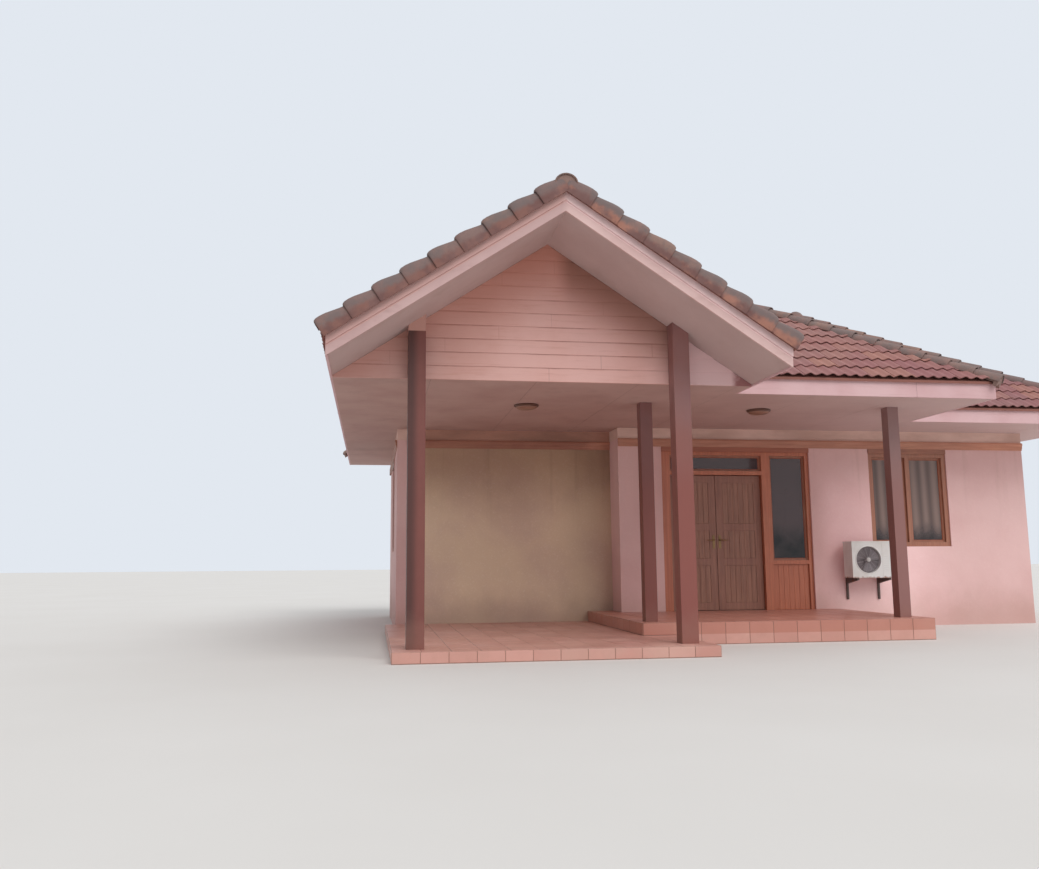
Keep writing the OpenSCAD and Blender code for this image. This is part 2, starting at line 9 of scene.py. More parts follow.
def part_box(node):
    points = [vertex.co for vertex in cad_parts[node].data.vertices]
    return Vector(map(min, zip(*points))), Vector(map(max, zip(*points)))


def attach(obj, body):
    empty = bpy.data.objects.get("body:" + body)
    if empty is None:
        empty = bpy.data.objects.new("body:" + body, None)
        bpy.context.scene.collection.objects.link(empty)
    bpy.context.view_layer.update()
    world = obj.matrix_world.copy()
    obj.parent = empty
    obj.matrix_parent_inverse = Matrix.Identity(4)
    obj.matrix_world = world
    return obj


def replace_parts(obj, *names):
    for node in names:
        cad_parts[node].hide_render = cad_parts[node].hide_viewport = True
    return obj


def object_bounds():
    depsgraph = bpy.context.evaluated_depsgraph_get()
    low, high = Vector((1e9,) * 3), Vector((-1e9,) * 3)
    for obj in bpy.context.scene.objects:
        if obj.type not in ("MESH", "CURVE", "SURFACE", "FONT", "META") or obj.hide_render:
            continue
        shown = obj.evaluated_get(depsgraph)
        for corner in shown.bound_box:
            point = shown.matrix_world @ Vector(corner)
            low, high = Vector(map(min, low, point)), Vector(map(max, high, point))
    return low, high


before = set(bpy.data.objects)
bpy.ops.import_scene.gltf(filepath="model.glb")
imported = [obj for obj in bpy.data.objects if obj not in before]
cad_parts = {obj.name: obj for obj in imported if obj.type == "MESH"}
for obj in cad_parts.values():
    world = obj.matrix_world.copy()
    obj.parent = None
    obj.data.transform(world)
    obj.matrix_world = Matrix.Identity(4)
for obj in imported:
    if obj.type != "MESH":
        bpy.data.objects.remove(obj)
cad_low, cad_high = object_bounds()
draw = random.Random(20)
UP = Vector((0, 0, 1))
TURN = 2 * math.pi

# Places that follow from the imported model, in metres
PITCH = math.radians(33.5)
SLOPE, COS, SIN = math.tan(PITCH), math.cos(PITCH), math.sin(PITCH)
ROOF_T = 0.07
TILE_LIP = 0.05
BARGE_T = 0.025
porch_low, porch_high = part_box("porch_fascia")
wing_low, wing_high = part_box("wing_fascia")
CEILING_Z, EAVE_Z = porch_low.z, porch_high.z
ROOF_Z = EAVE_Z + ROOF_T / COS
EAVE_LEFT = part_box("left_fascia")[0].x
EAVE_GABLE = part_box("gable_fascia")[1].x
EAVE_PORCH_X, EAVE_PORCH_Y = porch_high.x, porch_low.y
EAVE_RIGHT, EAVE_WING_Y = wing_high.x, wing_low.y
EAVE_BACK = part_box("back_fascia")[1].y
GABLE_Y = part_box("left_fascia")[0].y - BARGE_T
GABLE_TOP = EAVE_Z + EAVE_GABLE * SLOPE
APEX_Z = ROOF_Z + EAVE_GABLE * SLOPE
TILE_GABLE_Y = GABLE_Y - TILE_LIP
MAIN_HALF = (EAVE_PORCH_X - EAVE_LEFT) / 2
WING_HALF = (EAVE_BACK - EAVE_WING_Y) / 2
GABLE_END = (0.0, EAVE_PORCH_Y + EAVE_GABLE)
MAIN_FRONT = (EAVE_LEFT + MAIN_HALF, EAVE_PORCH_Y + MAIN_HALF)
MAIN_BACK = (EAVE_LEFT + MAIN_HALF, EAVE_BACK - MAIN_HALF)
WING_LEFT = (EAVE_PORCH_X - WING_HALF, EAVE_WING_Y + WING_HALF)
WING_RIGHT = (EAVE_RIGHT - WING_HALF, EAVE_WING_Y + WING_HALF)
CARPORT_WALL_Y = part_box("carport_wall")[0].y
PORCH_WALL_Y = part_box("porch_wall")[0].y
WALL_LEFT, WALL_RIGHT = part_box("left_wall")[0].x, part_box("right_wall")[1].x
WALL_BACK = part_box("back_wall")[1].y
CENTRE = (cad_low + cad_high) / 2

# The camera, at the photograph's viewing angle
IMAGE_W = 1039
FOCAL_PX = 923.13
SHIFT_PX = (5.64, -1.70)
SENSOR = 36
CAMERA_AT = Vector((-1.958, -9.901, 1.0165))
CAMERA_YAW = 0.1522
CAMERA_PITCH = 0.1397
CAMERA_ROLL = -0.0078


def add_camera():
    """Camera at its place, turned by yaw, pitch and roll, with the photograph's small shift."""
    camera = bpy.data.objects.new("camera", bpy.data.cameras.new("camera"))
    bpy.context.scene.collection.objects.link(camera)
    camera.matrix_world = (
        Matrix.Translation(CAMERA_AT) @ Matrix.Rotation(-CAMERA_YAW, 4, "Z")
        @ Matrix.Rotation(math.pi / 2 + CAMERA_PITCH, 4, "X") @ Matrix.Rotation(CAMERA_ROLL, 4, "Z"))
    camera.data.sensor_width = SENSOR
    camera.data.lens = SENSOR * FOCAL_PX / IMAGE_W
    camera.data.shift_x, camera.data.shift_y = (shift / IMAGE_W for shift in SHIFT_PX)
    camera.data.clip_end = 200
    bpy.context.scene.camera = camera


add_camera()


# Materials: small helpers that add shader nodes and link them
def srgb(r, g, b):
    """Linear colour of an 8-bit sRGB colour."""
    def linear(c):
        c = c / 255
        return c / 12.92 if c <= 0.04045 else ((c + 0.055) / 1.055) ** 2.4
    return (linear(r), linear(g), linear(b), 1.0)


class Value:
    """An output of a shader node, which takes part in sums and products."""

    def __init__(self, nodes, socket):
        self.nodes, self.socket = nodes, socket

    def __rsub__(self, other):
        return self.nodes.math("SUBTRACT", other, self)

    def __abs__(self):
        return self.nodes.math("ABSOLUTE", self)


for sign, what in (("add", "ADD"), ("sub", "SUBTRACT"), ("mul", "MULTIPLY"), ("truediv", "DIVIDE")):
    setattr(Value, f"__{sign}__", lambda a, b, what=what: a.nodes.math(what, a, b))


class Nodes:
    """A node tree and the calls that build it."""

    def __init__(self, tree):
        self.tree = tree

    def put(self, socket, value):
        """Sets an input, or links a value to it."""
        if isinstance(value, Value):
            self.tree.links.new(value.socket, socket)
        elif value is not None:
            socket.default_value = value

    def node(self, kind, inputs=(), out=0, **settings):
        made = self.tree.nodes.new(kind)
        for key, value in settings.items():
            setattr(made, key, value)
        for key, value in dict(inputs).items():
            self.put(made.inputs[key], value)
        return Value(self, made.outputs[out])

    def place(self):
        """Coordinates of the object itself, in metres."""
        return self.node("ShaderNodeTexCoord", out=3)

    def axes(self, place=None):
        """The x, y and z of a place."""
        split = self.tree.nodes.new("ShaderNodeSeparateXYZ")
        self.put(split.inputs[0], place or self.place())
        return [Value(self, socket) for socket in split.outputs]

    def scaled(self, x, y, z):
        return self.node("ShaderNodeMapping", {"Vector": self.place(), "Scale": (x, y, z)})

    def noise(self, scale, detail, rough=0.55, place=None):
        return self.node("ShaderNodeTexNoise", {
            "Vector": place or self.place(), "Scale": scale, "Detail": detail, "Roughness": rough})

    def math(self, what, a, b=None):
        return self.node("ShaderNodeMath", {0: a} if b is None else {0: a, 1: b}, operation=what)

    def since(self, value, pitch):
        """Distance past the last of many lines that lie a pitch apart."""
        return self.math("FRACT", value / pitch) * pitch

    def ramp(self, value, low, high):
        """0 below low, 1 above high and smooth between them."""
        return self.node("ShaderNodeMapRange", {
            "Value": value, "From Min": low, "From Max": high}, interpolation_type="SMOOTHSTEP")

    def fall(self, value, low, high):
        """1 below low, 0 above high and smooth between them."""
        return 1 - self.ramp(value, low, high)

    def mix(self, share, a, b, blend="MIX"):
        return self.node("ShaderNodeMix", {0: share, 6: a, 7: b}, 2, data_type="RGBA", blend_type=blend)

    def bump(self, height, depth, normal=None):
        return self.node("ShaderNodeBump", {
            "Height": height, "Distance": depth, "Strength": 1.0, "Normal": normal})

    def attribute(self, name):
        """A number kept in the mesh, such as one tile's own shade."""
        return self.node("ShaderNodeAttribute", out=2, attribute_name=name)


class Shade(Nodes):
    """One material, with its colour so far and the height of its surface."""

    def __init__(self, name, roughness, **sockets):
        self.mat = bpy.data.materials.new(name)
        self.mat.use_nodes = True
        super().__init__(self.mat.node_tree)
        self.bsdf = self.tree.nodes["Principled BSDF"]
        self.bsdf.inputs["Roughness"].default_value = roughness
        for key, value in sockets.items():
            self.bsdf.inputs[key.replace("_", " ")].default_value = value

    def over(self, share, colour):
        """Lays a share of a further colour over the colour so far."""
        self.colour = self.mix(share, self.colour, colour)

    def tinted(self, factor):
        return self.mix(1.0, self.colour, factor, "MULTIPLY")

    def tint(self, share, factor):
        self.over(share, self.tinted(factor))

    def finish(self, rough=None, normal=None):
        for key, value in (("Base Color", self.colour), ("Roughness", rough), ("Normal", normal)):
            self.put(self.bsdf.inputs[key], value)
        return self.mat


# Where the paint changes, in metres, and the colours it changes to, some of them painted light and shade
CREAM_SHADE_Z = (1.7, 3.0)
CORNER_X = (0.7, 1.5)
PORCH_X_FROM, PORCH_X_TO = (4.8, 5.2), (6.3, 7.4)
PORCH_Y_TO, PORCH_Z_TO = (4.0, 4.2), (1.9, 2.6)
RAIN_Z, SPLASH_Z = (1.2, 2.9), (0.35, 1.05)
FRIEZE_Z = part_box("porch_moulding")[1].z
CREAM_LOW_LIGHT = (1.4, 1.54, 1.62, 1)
CREAM_HIGH_SHADE = (0.78, 0.73, 0.71, 1)
CREAM_CORNER_SHADE = (0.8, 0.79, 0.78, 1)
PINK_LOW_LIGHT = (1.24, 1.28, 1.32, 1)
SPECKLE = srgb(240, 222, 214)


def carport_painted_light(s):
    """Painted shade darkens the cream wall under the ceiling and in its inner corner, and painted light
    makes it paler lower down.
    """
    x, y, z = s.axes()
    height = z + s.noise(0.8, 4) * 0.5
    s.colour = s.mix(s.ramp(height, *CREAM_SHADE_Z), s.tinted(CREAM_LOW_LIGHT), s.tinted(CREAM_HIGH_SHADE))
    s.tint(s.ramp(x, *CORNER_X), CREAM_CORNER_SHADE)


def porch_painted_light(s):
    """Painted light: the pink wall behind the porch is brighter low down, where the open side lights it."""
    x, y, z = s.axes()
    along = s.ramp(x, *PORCH_X_FROM) * s.fall(x, *PORCH_X_TO)
    s.tint(s.fall(y, *PORCH_Y_TO) * (along * s.fall(z, *PORCH_Z_TO)), PINK_LOW_LIGHT)


def plaster(name, base, tone, frieze, stain, after):
    """Painted render: mottled, rain-streaked below the eaves and dirty along the ground."""
    s = Shade(name, 0.85)
    x, y, z = s.axes()
    s.colour = s.mix(s.ramp(s.noise(0.7, 5), 0.35, 0.7), base, tone)
    speckle = s.noise(38, 3)
    s.over(s.ramp(speckle, 0.5, 0.8) * 0.16, SPECKLE)
    streaks = s.ramp(s.noise(1.0, 5, 0.6, s.scaled(7, 7, 0.35)), 0.52, 0.78)
    s.over(streaks * s.ramp(z, *RAIN_Z) * 0.3, stain)
    s.over(s.fall(z + s.noise(2.2, 5) * 0.6, *SPLASH_Z) * 0.45, stain)
    after(s)
    band = s.mix(s.ramp(s.noise(1.3, 6, 0.6, s.scaled(1, 1, 3)), 0.3, 0.75) * 0.55, frieze, stain)
    s.over(s.ramp(z, FRIEZE_Z - 0.003, FRIEZE_Z + 0.003), band)
    trowel = s.bump(s.noise(3.2, 4), 0.009)
    return s.finish(speckle * 0.25 + 0.72, s.bump(s.noise(110, 4), 0.0018, trowel))


def paint(name, base, tone, dirt, grain, rough, amount, after=None):
    """Old paint on boards: chalky patches, streaks along the grain and fine dirt. after adds more."""
    s = Shade(name, rough)
    along = s.scaled(*grain)
    s.colour = s.mix(s.ramp(s.noise(1.3, 5), 0.35, 0.72), base, tone)
    s.over(s.ramp(s.noise(3.0, 6, 0.62, along), 0.5, 0.82) * amount, dirt)
    s.over(s.ramp(s.noise(60, 3, 0.7), 0.62, 0.78) * amount, dirt)
    s.height = s.noise(22, 5, 0.6, along)
    if after:
        after(s)
    return s.finish(s.noise(9, 4, place=along) * 0.3 + (rough - 0.1), s.bump(s.height, 0.0012))


SIDING_BOARD, SIDING_LENGTH, SIDING_STEP = 0.158, 2.4, 0.61
SIDING_LINE = srgb(140, 84, 74)
SIDING_TOP_SHADE = srgb(196, 128, 108)
SIDING_SHADE = srgb(130, 88, 74)
SIDING_LEFT_SHADE = (0.86, 0.84, 0.83, 1)
SIDING_RIGHT_LIGHT = (1.12, 1.12, 1.13, 1)
SIDING_PALE_LIGHT = srgb(236, 206, 210)
SIDING_TIP = srgb(132, 60, 58)
SIDING_TOP_SHADE_Z, SIDING_LIT_X, SIDING_TIP_X = (3.65, 4.8), (1.46, 1.54), (2.16, 2.24)


def board_lines(s):
    """Painted shadow line under each siding board, painted shade on the gable's left and painted light on
    its right, a redder painted shade high up, a painted shadow along the right slope, painted light beyond
    the right column, a dark red patch at the right end and dark butt joints.
    """
    x, y, z = s.axes()
    row = (z - CEILING_Z) / SIDING_BOARD
    # The painted shadow under each board's lap is stronger in some patches than in others.
    worn = s.ramp(s.noise(2.4, 5), 0.3, 0.75) * 0.45 + 0.08
    line = s.ramp(s.math("FRACT", row), 0.88, 0.97) * worn
    # Painted shade on the left of the gable, painted light on its right.
    s.colour = s.mix(s.ramp(x, -1.7, 1.7), s.tinted(SIDING_LEFT_SHADE), s.tinted(SIDING_RIGHT_LIGHT))
    s.over(line, SIDING_LINE)
    # A redder painted shade high up under the overhang.
    s.over(s.ramp(z + abs(x) * 0.4, *SIDING_TOP_SHADE_Z) * 0.85, SIDING_TOP_SHADE)
    # Painted shadow along the right slope's soffit.
    shade = s.ramp(z + x * SLOPE, GABLE_TOP - 0.95, GABLE_TOP - 0.25)
    beyond = s.ramp(x, *SIDING_LIT_X)
    s.over(shade * s.ramp(x, 0.05, 0.3) * (1 - beyond) * 0.72, SIDING_SHADE)
    # Painted light on the siding right of the column.
    s.over(beyond * 0.7, SIDING_PALE_LIGHT)
    tip = s.ramp(x, *SIDING_TIP_X) * s.ramp(s.noise(6, 3), 0.2, 0.5)
    s.over(tip * 0.8, SIDING_TIP)
    joint = abs(x - s.math("FLOOR", row) * SIDING_STEP)
    butt = s.fall(s.math("FRACT", joint / SIDING_LENGTH), 0.0012, 0.0028)
    s.over(butt * 0.25, SIDING_LINE)
    s.height -= line * 2.0


STRIP_H = (0.112, 0.106)
BARGE_LEFT_SHADE = (0.79, 0.76, 0.77, 1)
STRIP_LEFT_SHADE = srgb(212, 168, 162)
STRIP_RIGHT_LIGHT = srgb(255, 222, 222)
FASCIA_DIRT = srgb(186, 146, 140)


def barge_bands(s):
    """The barge's narrow upper strip is a deeper pink than the board below it. The left barge and strip are
    painted darker as shade, and the right strip paler as painted light.
    """
    x, y, z = s.axes()
    upper = s.ramp(z + abs(x) * SLOPE, *(GABLE_TOP - h for h in STRIP_H))
    right = s.ramp(x, -0.05, 0.05)
    # Painted shade on the left barge.
    s.colour = s.mix(right, s.tinted(BARGE_LEFT_SHADE), s.colour)
    # The strip: painted darker on the left as shade and paler on the right as painted light.
    s.over(upper, s.mix(s.noise(4, 4) * 0.6, s.mix(right, STRIP_LEFT_SHADE, STRIP_RIGHT_LIGHT), FASCIA_DIRT))


SHEET_W, SHEET_L = 1.2, 2.4
SHEET_OFF = (24.14, 24.3)
CEILING_LIGHT_X = (0.5, 6.5)
CEILING_LIGHT = srgb(226, 204, 204)
SHEET_JOINT = srgb(96, 74, 66)
BOARD_L, BOARD_OFF = 3.05, 31.1
BOARD_JOINT = srgb(120, 86, 80)


def sheet_joints(s):
    """Fine joints between ceiling sheets, and painted light: a cooler, paler colour towards the porch and
    the wing.
    """
    x, y, z = s.axes()
    # Painted light: paler and cooler towards the porch and the wing.
    s.over(s.ramp(x, *CEILING_LIGHT_X) * 0.55, CEILING_LIGHT)
    across = s.fall(s.since(x + SHEET_OFF[0], SHEET_W), 0.003, 0.007)
    along = s.fall(s.since(y + SHEET_OFF[1], SHEET_L), 0.003, 0.007)
    lines = s.math("MAXIMUM", across, along)
    s.over(lines * 0.35, SHEET_JOINT)
    s.height -= lines * 2.5


def board_ends(s):
    """Butt joints between fascia boards."""
    x, y, z = s.axes()
    line = s.fall(s.since(x + y + BOARD_OFF, BOARD_L), 0.002, 0.005)
    s.over(line * 0.6, BOARD_JOINT)
    s.height -= line * 2.5


COLUMN_TOP = 3.541
COLUMN_LEFT_SHADE = srgb(72, 40, 36)
COLUMN_FADED = srgb(146, 104, 102)
COLUMN_GREY = srgb(150, 122, 120)
COLUMN_FADED_LOW = srgb(144, 94, 86)
COLUMN_BARE = srgb(196, 146, 134)
COLUMN_LOW_LIGHT_RED = srgb(136, 76, 68)
COLUMN_INNER_SHADE = (0.82, 0.78, 0.78, 1)
COLUMN_SHADE = srgb(86, 62, 60)
COLUMN_DUST = srgb(150, 108, 96)
LEFT_FACE_X, PORCH_COLUMN_X, INNER_SHADE_Y = (-1.56, -1.46), (4.0, 4.5), (0.6, 0.7)
LIGHT_RED_Z, DUST_Z = (1.7, 2.9), (0.35, 0.7)


def column_paint(s):
    """The left column is painted darker on its outer side as shade and is bare of paint at its top; the
    others are faded.
    Painted light makes the right columns redder low down; painted shade darkens columns further back and
    the tops of the right columns.
    """
    x, y, z = s.axes()
    faded = s.mix(s.ramp(s.noise(1.1, 4), 0.3, 0.7), COLUMN_FADED, COLUMN_FADED_LOW)
    s.over(s.ramp(x, 0.0, 1.2), faded)
    porch, right = s.ramp(x, *PORCH_COLUMN_X), s.ramp(x, 0.0, 0.1)
    s.over(porch * 0.7, COLUMN_GREY)
    # Painted shade on the left column's outer side.
    s.over(s.fall(x, *LEFT_FACE_X) * 0.85, COLUMN_LEFT_SHADE)
    # Painted light: the right columns are redder low down.
    red = s.fall(z, *LIGHT_RED_Z) * s.ramp(x, 0.0, 0.5) * (1 - porch * 0.5)
    s.over(red, COLUMN_LOW_LIGHT_RED)
    # Painted shade on columns further back.
    s.tint(s.ramp(y, *INNER_SHADE_Y) * (1 - porch), COLUMN_INNER_SHADE)
    top = s.ramp(z, COLUMN_TOP, COLUMN_TOP + 0.42) * right
    s.over(top * 0.6, COLUMN_SHADE)
    bare = s.ramp(z, COLUMN_TOP - 0.002, COLUMN_TOP + 0.002) * (1 - right)
    s.over(bare, COLUMN_BARE)
    s.over(s.fall(z + s.noise(5, 4) * 0.3, *DUST_Z) * 0.4, COLUMN_DUST)


UPRIGHT, ALONG_X, BOARD_GRAIN = (14, 14, 0.8), (0.8, 14, 14), (0.8, 0.8, 14)
WORN = srgb(205, 150, 118)


def wood(name, light, dark, grain=UPRIGHT, rough=0.4, coat=0.0, faded=WORN, after=None):
    """Varnished timber with its grain along one axis, faded in patches. after adds more."""
    s = Shade(name, rough, Coat_Weight=coat, Coat_Roughness=0.25)
    along = s.scaled(*grain)
    rings = s.node("ShaderNodeTexWave", {
        "Vector": along, "Scale": 0.45, "Distortion": 16.0, "Detail": 5.0, "Detail Scale": 0.55,
        "Detail Roughness": 0.62}, out=1)
    figure = s.ramp(s.noise(1.6, 5, 0.6, along), 0.38, 0.66)
    fibres = s.ramp(s.noise(8, 7, 0.72, along), 0.4, 0.68)
    s.colour = s.mix(rings * 0.28, light, dark)
    s.over(figure * 0.42, dark)
    s.over(fibres * 0.32, dark)
    s.over(s.ramp(s.noise(1.6, 4), 0.5, 0.75) * 0.25, faded)
    if after:
        after(s)
    return s.finish(fibres * 0.25 + (rough - 0.08), s.bump(fibres, 0.0008))


MOULDING_SHADE_X, MOULDING_LIGHT_X = (1.25, 1.45), (7.0, 8.2)
MOULDING_SHADE = (0.74, 0.68, 0.66, 1)
MOULDING_LIGHT = (1.28, 1.28, 1.28, 1)


def moulding_painted_light(s):
    """Painted shade darkens the cornice in the carport, and painted light brightens it at the open right
    end.
    """
    x, y, z = s.axes()
    s.tint(s.fall(x, *MOULDING_SHADE_X), MOULDING_SHADE)
    s.tint(s.ramp(x, *MOULDING_LIGHT_X), MOULDING_LIGHT)


def tile_clay(name, faces, lichen, dark, cover, skirt=None):
    """Red-brown cement tiles: each its own shade, streaked, and darkened by lichen and old rain.
    skirt is the cleaner colour of the low part of a verge tile; on the left verge it is painted darker as
    shade."""
    s = Shade(name, 0.8)
    own = s.attribute("own")
    drift = s.ramp(s.noise(0.55, 4), 0.3, 0.7) + own * 0.5
    s.colour = s.mix(s.ramp(drift, 0.2, 1.2), faces[0], faces[1])
    s.over(s.ramp(own, 0.7, 1.0) * 0.4, faces[2])
    blotch = s.noise(1.1, 6, 0.62)
    s.over(s.ramp(blotch, 0.42, 0.7) * 0.5, faces[3])
    grit = s.noise(120, 3, 0.7)
    s.over(s.ramp(grit, 0.45, 0.7) * 0.22, dark)
    patches = s.ramp(s.noise(5, 7, 0.7) + blotch * 0.35, 0.86 - cover * 0.4, 0.98 - cover * 0.25)
    s.over(patches * (0.2 + cover * 0.7), lichen)
    if skirt:
        x, y, z = s.axes()
        ragged = s.attribute("high") + s.noise(14, 5) * 0.5
        # Warm patches on the skirt, fewer on the left verge: a painted shade there.
        warm_patches_and_light = s.ramp(s.noise(4.5, 4), 0.4, 0.6) * (s.ramp(x, -0.4, 0.4) * 0.6 + 0.3)
        s.colour = s.mix(s.ramp(ragged, 0.5, 0.85), s.mix(warm_patches_and_light, *skirt), s.colour)
    # Painted shade: the nose at the lower end of each tile, cap and verge tile is darkened.
    s.over(s.ramp(s.attribute("nose"), 0.2, 1.0) * 0.4, dark)
    return s.finish(patches * 0.2 + 0.72, s.bump(grit * 0.5 + patches, 0.0014))


STEP_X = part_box("porch_floor")[0].x
STEP_Z = (0.125, 0.13)
PORCH_TILE = srgb(178, 108, 88)
TILE_CLOUD = srgb(186, 140, 126)
TILE_DUST = srgb(208, 178, 164)
TILE_GAP = srgb(140, 108, 98)
TILES_A_METRE = 3.3333


def floor_tiles(name, light, dark, grid=False):
    """Fired red floor tiles, each its own shade, worn and dusty. grid draws joints where none are built."""
    s = Shade(name, 0.45)
    own = s.attribute("own")
    if grid:
        own = s.node("ShaderNodeTexWhiteNoise", {"Vector": s.node("ShaderNodeVectorMath", {
            0: s.scaled(TILES_A_METRE, TILES_A_METRE, 0.0)}, operation="FLOOR")}, noise_dimensions="3D")
    s.colour = s.mix(own, light, dark)
    s.over(s.ramp(s.noise(5, 6, 0.6), 0.4, 0.75) * 0.35, TILE_CLOUD)
    dust = s.ramp(s.noise(1.2, 5), 0.45, 0.75)
    s.over(dust * 0.3, TILE_DUST)
    x, y, z = s.axes()
    height = s.noise(30, 4)
    if grid:
        for axis in (x, y):
            line = s.fall(s.math("FRACT", (axis + 30) * TILES_A_METRE), 0.01, 0.024)
            s.over(line, TILE_GAP)
            height = height - line * 3.0
    else:
        porch = s.ramp(x, STEP_X - 0.02, STEP_X - 0.01) * s.ramp(z, *STEP_Z)
        s.over(porch * 0.55, PORCH_TILE)
    return s.finish(dust * 0.4 + 0.32, s.bump(height, 0.0006))


DIRT = srgb(96, 80, 70)
UNIT_DUST = srgb(186, 172, 158)
RUST_H = (0.04, 0.075)


def plain(name, colour, rough=0.5, metal=0.0, dirt=DIRT, amount=0.3):
    """Plastic, metal or mortar with a little dirt in its colour and roughness."""
    s = Shade(name, rough, Metallic=metal)
    patch = s.ramp(s.noise(6, 5), 0.45, 0.75)
    s.colour = s.mix(patch * amount, colour, dirt)
    return s.finish(patch * 0.2 + (rough - 0.05), s.bump(s.noise(40.0, 4), 0.0006))


def enamel(name, colour, rust):
    """White enamelled sheet metal with dust on top, and rust along its lower edges."""
    s = Shade(name, 0.35)
    x, y, z = s.axes()
    dust = s.ramp(s.noise(5, 5), 0.4, 0.8)
    s.colour = s.mix(dust * 0.3, colour, UNIT_DUST)
    near = s.fall((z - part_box("condenser")[0].z) + s.noise(22, 5) * 0.09, *RUST_H)
    s.over(near * 0.8, rust)
    return s.finish(near * 0.5 + 0.3, s.bump(dust, 0.0003))


GLASS_LOW = srgb(40, 40, 44)
GLASS_HIGH = srgb(124, 108, 111)
CURTAIN_LIGHT = srgb(196, 166, 154)
CURTAIN_DARK = srgb(142, 118, 110)
PALE_GLASS_Z, CURTAIN_X, CURTAIN_Z = (1.42, 1.75), (5.3, 5.35), (1.45, 1.8)


def glass(name):
    """Dark tinted glass: dusty and paler high up, with a brown curtain shade in the front window."""
    s = Shade(name, 0.05, Transmission_Weight=0.5, IOR=1.5)
    x, y, z = s.axes()
    film = s.ramp(s.noise(4, 4), 0.35, 0.8)
    s.colour = s.mix(film, GLASS_LOW, s.mix(0.5, GLASS_LOW, GLASS_HIGH))
    ragged = z + s.noise(3, 4) * 0.3
    s.over(s.ramp(ragged, *PALE_GLASS_Z) * 0.9, GLASS_HIGH)
    folds = s.node("ShaderNodeTexWave", {"Vector": s.scaled(1, 1, 0.01), "Scale": 3.4, "Distortion": 1.2,
                                         "Detail": 2.0}, out=1, bands_direction="DIAGONAL")
    shown = s.ramp(x, *CURTAIN_X) * s.ramp(ragged, *CURTAIN_Z)
    s.over(shown * 0.8, s.mix(folds, CURTAIN_LIGHT, CURTAIN_DARK))
    return s.finish(film * 0.08 + 0.05)


RUST = srgb(140, 78, 48)
PINK_WALL = plaster("pink_plaster", srgb(229, 190, 187), srgb(219, 176, 173), srgb(230, 196, 184),
                    srgb(178, 140, 126), porch_painted_light)
CREAM_WALL = plaster("cream_plaster", srgb(206, 176, 148), srgb(192, 160, 140), srgb(190, 142, 124),
                     srgb(132, 102, 90), carport_painted_light)
SIDING = paint("siding_paint", srgb(226, 180, 172), srgb(218, 168, 158), srgb(196, 138, 124),
               (0.7, 1, 9), 0.6, 0.45, board_lines)
BARGE = paint("barge_paint", srgb(222, 188, 184), srgb(212, 176, 172), FASCIA_DIRT,
              (1, 1, 3), 0.55, 0.5, barge_bands)
FASCIA = paint("fascia_paint", srgb(216, 179, 181), srgb(206, 164, 166), FASCIA_DIRT,
               (0.5, 0.5, 7), 0.55, 0.5, board_ends)
SOFFIT = paint("soffit_paint", srgb(198, 172, 168), srgb(190, 162, 158), srgb(170, 136, 124),
               (1, 1, 1), 0.7, 0.35)
CEILING = paint("ceiling_paint", srgb(192, 158, 150), srgb(182, 146, 138), srgb(150, 120, 110),
                (1, 1, 1), 0.7, 0.35, sheet_joints)
MAROON = paint("maroon_paint", srgb(126, 71, 64), srgb(114, 62, 55), srgb(98, 56, 49),
               (3, 3, 0.5), 0.42, 0.5, column_paint)
WINDOW_WOOD = wood("window_wood", srgb(176, 118, 94), srgb(142, 92, 74), rough=0.42, coat=0.15)
FRAME_WOOD = wood("frame_wood", srgb(202, 124, 94), srgb(166, 92, 68), coat=0.2)
DOOR_WOOD = wood("door_wood", srgb(164, 114, 96), srgb(122, 80, 67), rough=0.45, coat=0.15,
                 faded=srgb(176, 126, 106))
BOARD_WOOD = wood("board_wood", srgb(168, 120, 100), srgb(120, 80, 67), rough=0.45, coat=0.1,
                  faded=srgb(178, 130, 110))
BEAD_WOOD = wood("bead_wood", srgb(170, 92, 62), srgb(132, 66, 44), rough=0.45)
# A darker copy of the frame wood for the head board: painted shade under the porch roof.
ENTRANCE_HEAD_SHADED = wood("entrance_head_wood", srgb(174, 104, 80), srgb(140, 78, 58), BOARD_GRAIN, 0.4, 0.2)
WINDOW_HEAD = wood("window_head_wood", srgb(164, 108, 86), srgb(132, 84, 67), BOARD_GRAIN, 0.42, 0.15)
MOULDING_WOOD = wood("moulding_wood", srgb(192, 132, 108), srgb(160, 102, 80), ALONG_X, 0.5, 0.1,
                     after=moulding_painted_light)
GLASS = glass("window_glass")
ROOF_TILE = tile_clay(
    "roof_tile", [srgb(152, 100, 101), srgb(166, 116, 106), srgb(178, 126, 106), srgb(142, 106, 108)],
    srgb(124, 110, 100), srgb(116, 76, 70), 0.2)
CAP_TILE = tile_clay(
    "cap_tile", [srgb(134, 104, 100), srgb(146, 114, 104), srgb(166, 124, 104), srgb(116, 102, 104)],
    srgb(118, 108, 106), srgb(84, 62, 58), 0.7)
VERGE_TILE = tile_clay(
    "verge_tile", [srgb(126, 100, 96), srgb(138, 108, 100), srgb(150, 116, 100), srgb(112, 98, 98)],
    srgb(114, 102, 101), srgb(80, 58, 53), 0.8, [srgb(114, 80, 76), srgb(164, 114, 98)])
FLOOR_TILE = floor_tiles("floor_tile", srgb(212, 160, 148), srgb(198, 144, 132))
INNER_FLOOR = floor_tiles("inner_floor", srgb(196, 150, 132), srgb(184, 136, 118), True)
GROUT = plain("grout", srgb(150, 118, 106), 0.9)
MORTAR = plain("mortar", srgb(140, 112, 104), 0.9)
UNDERLAY = plain("roof_underlay", srgb(142, 92, 82), 0.9)
VALLEY = plain("valley_metal", srgb(128, 124, 120), 0.45, 0.7)
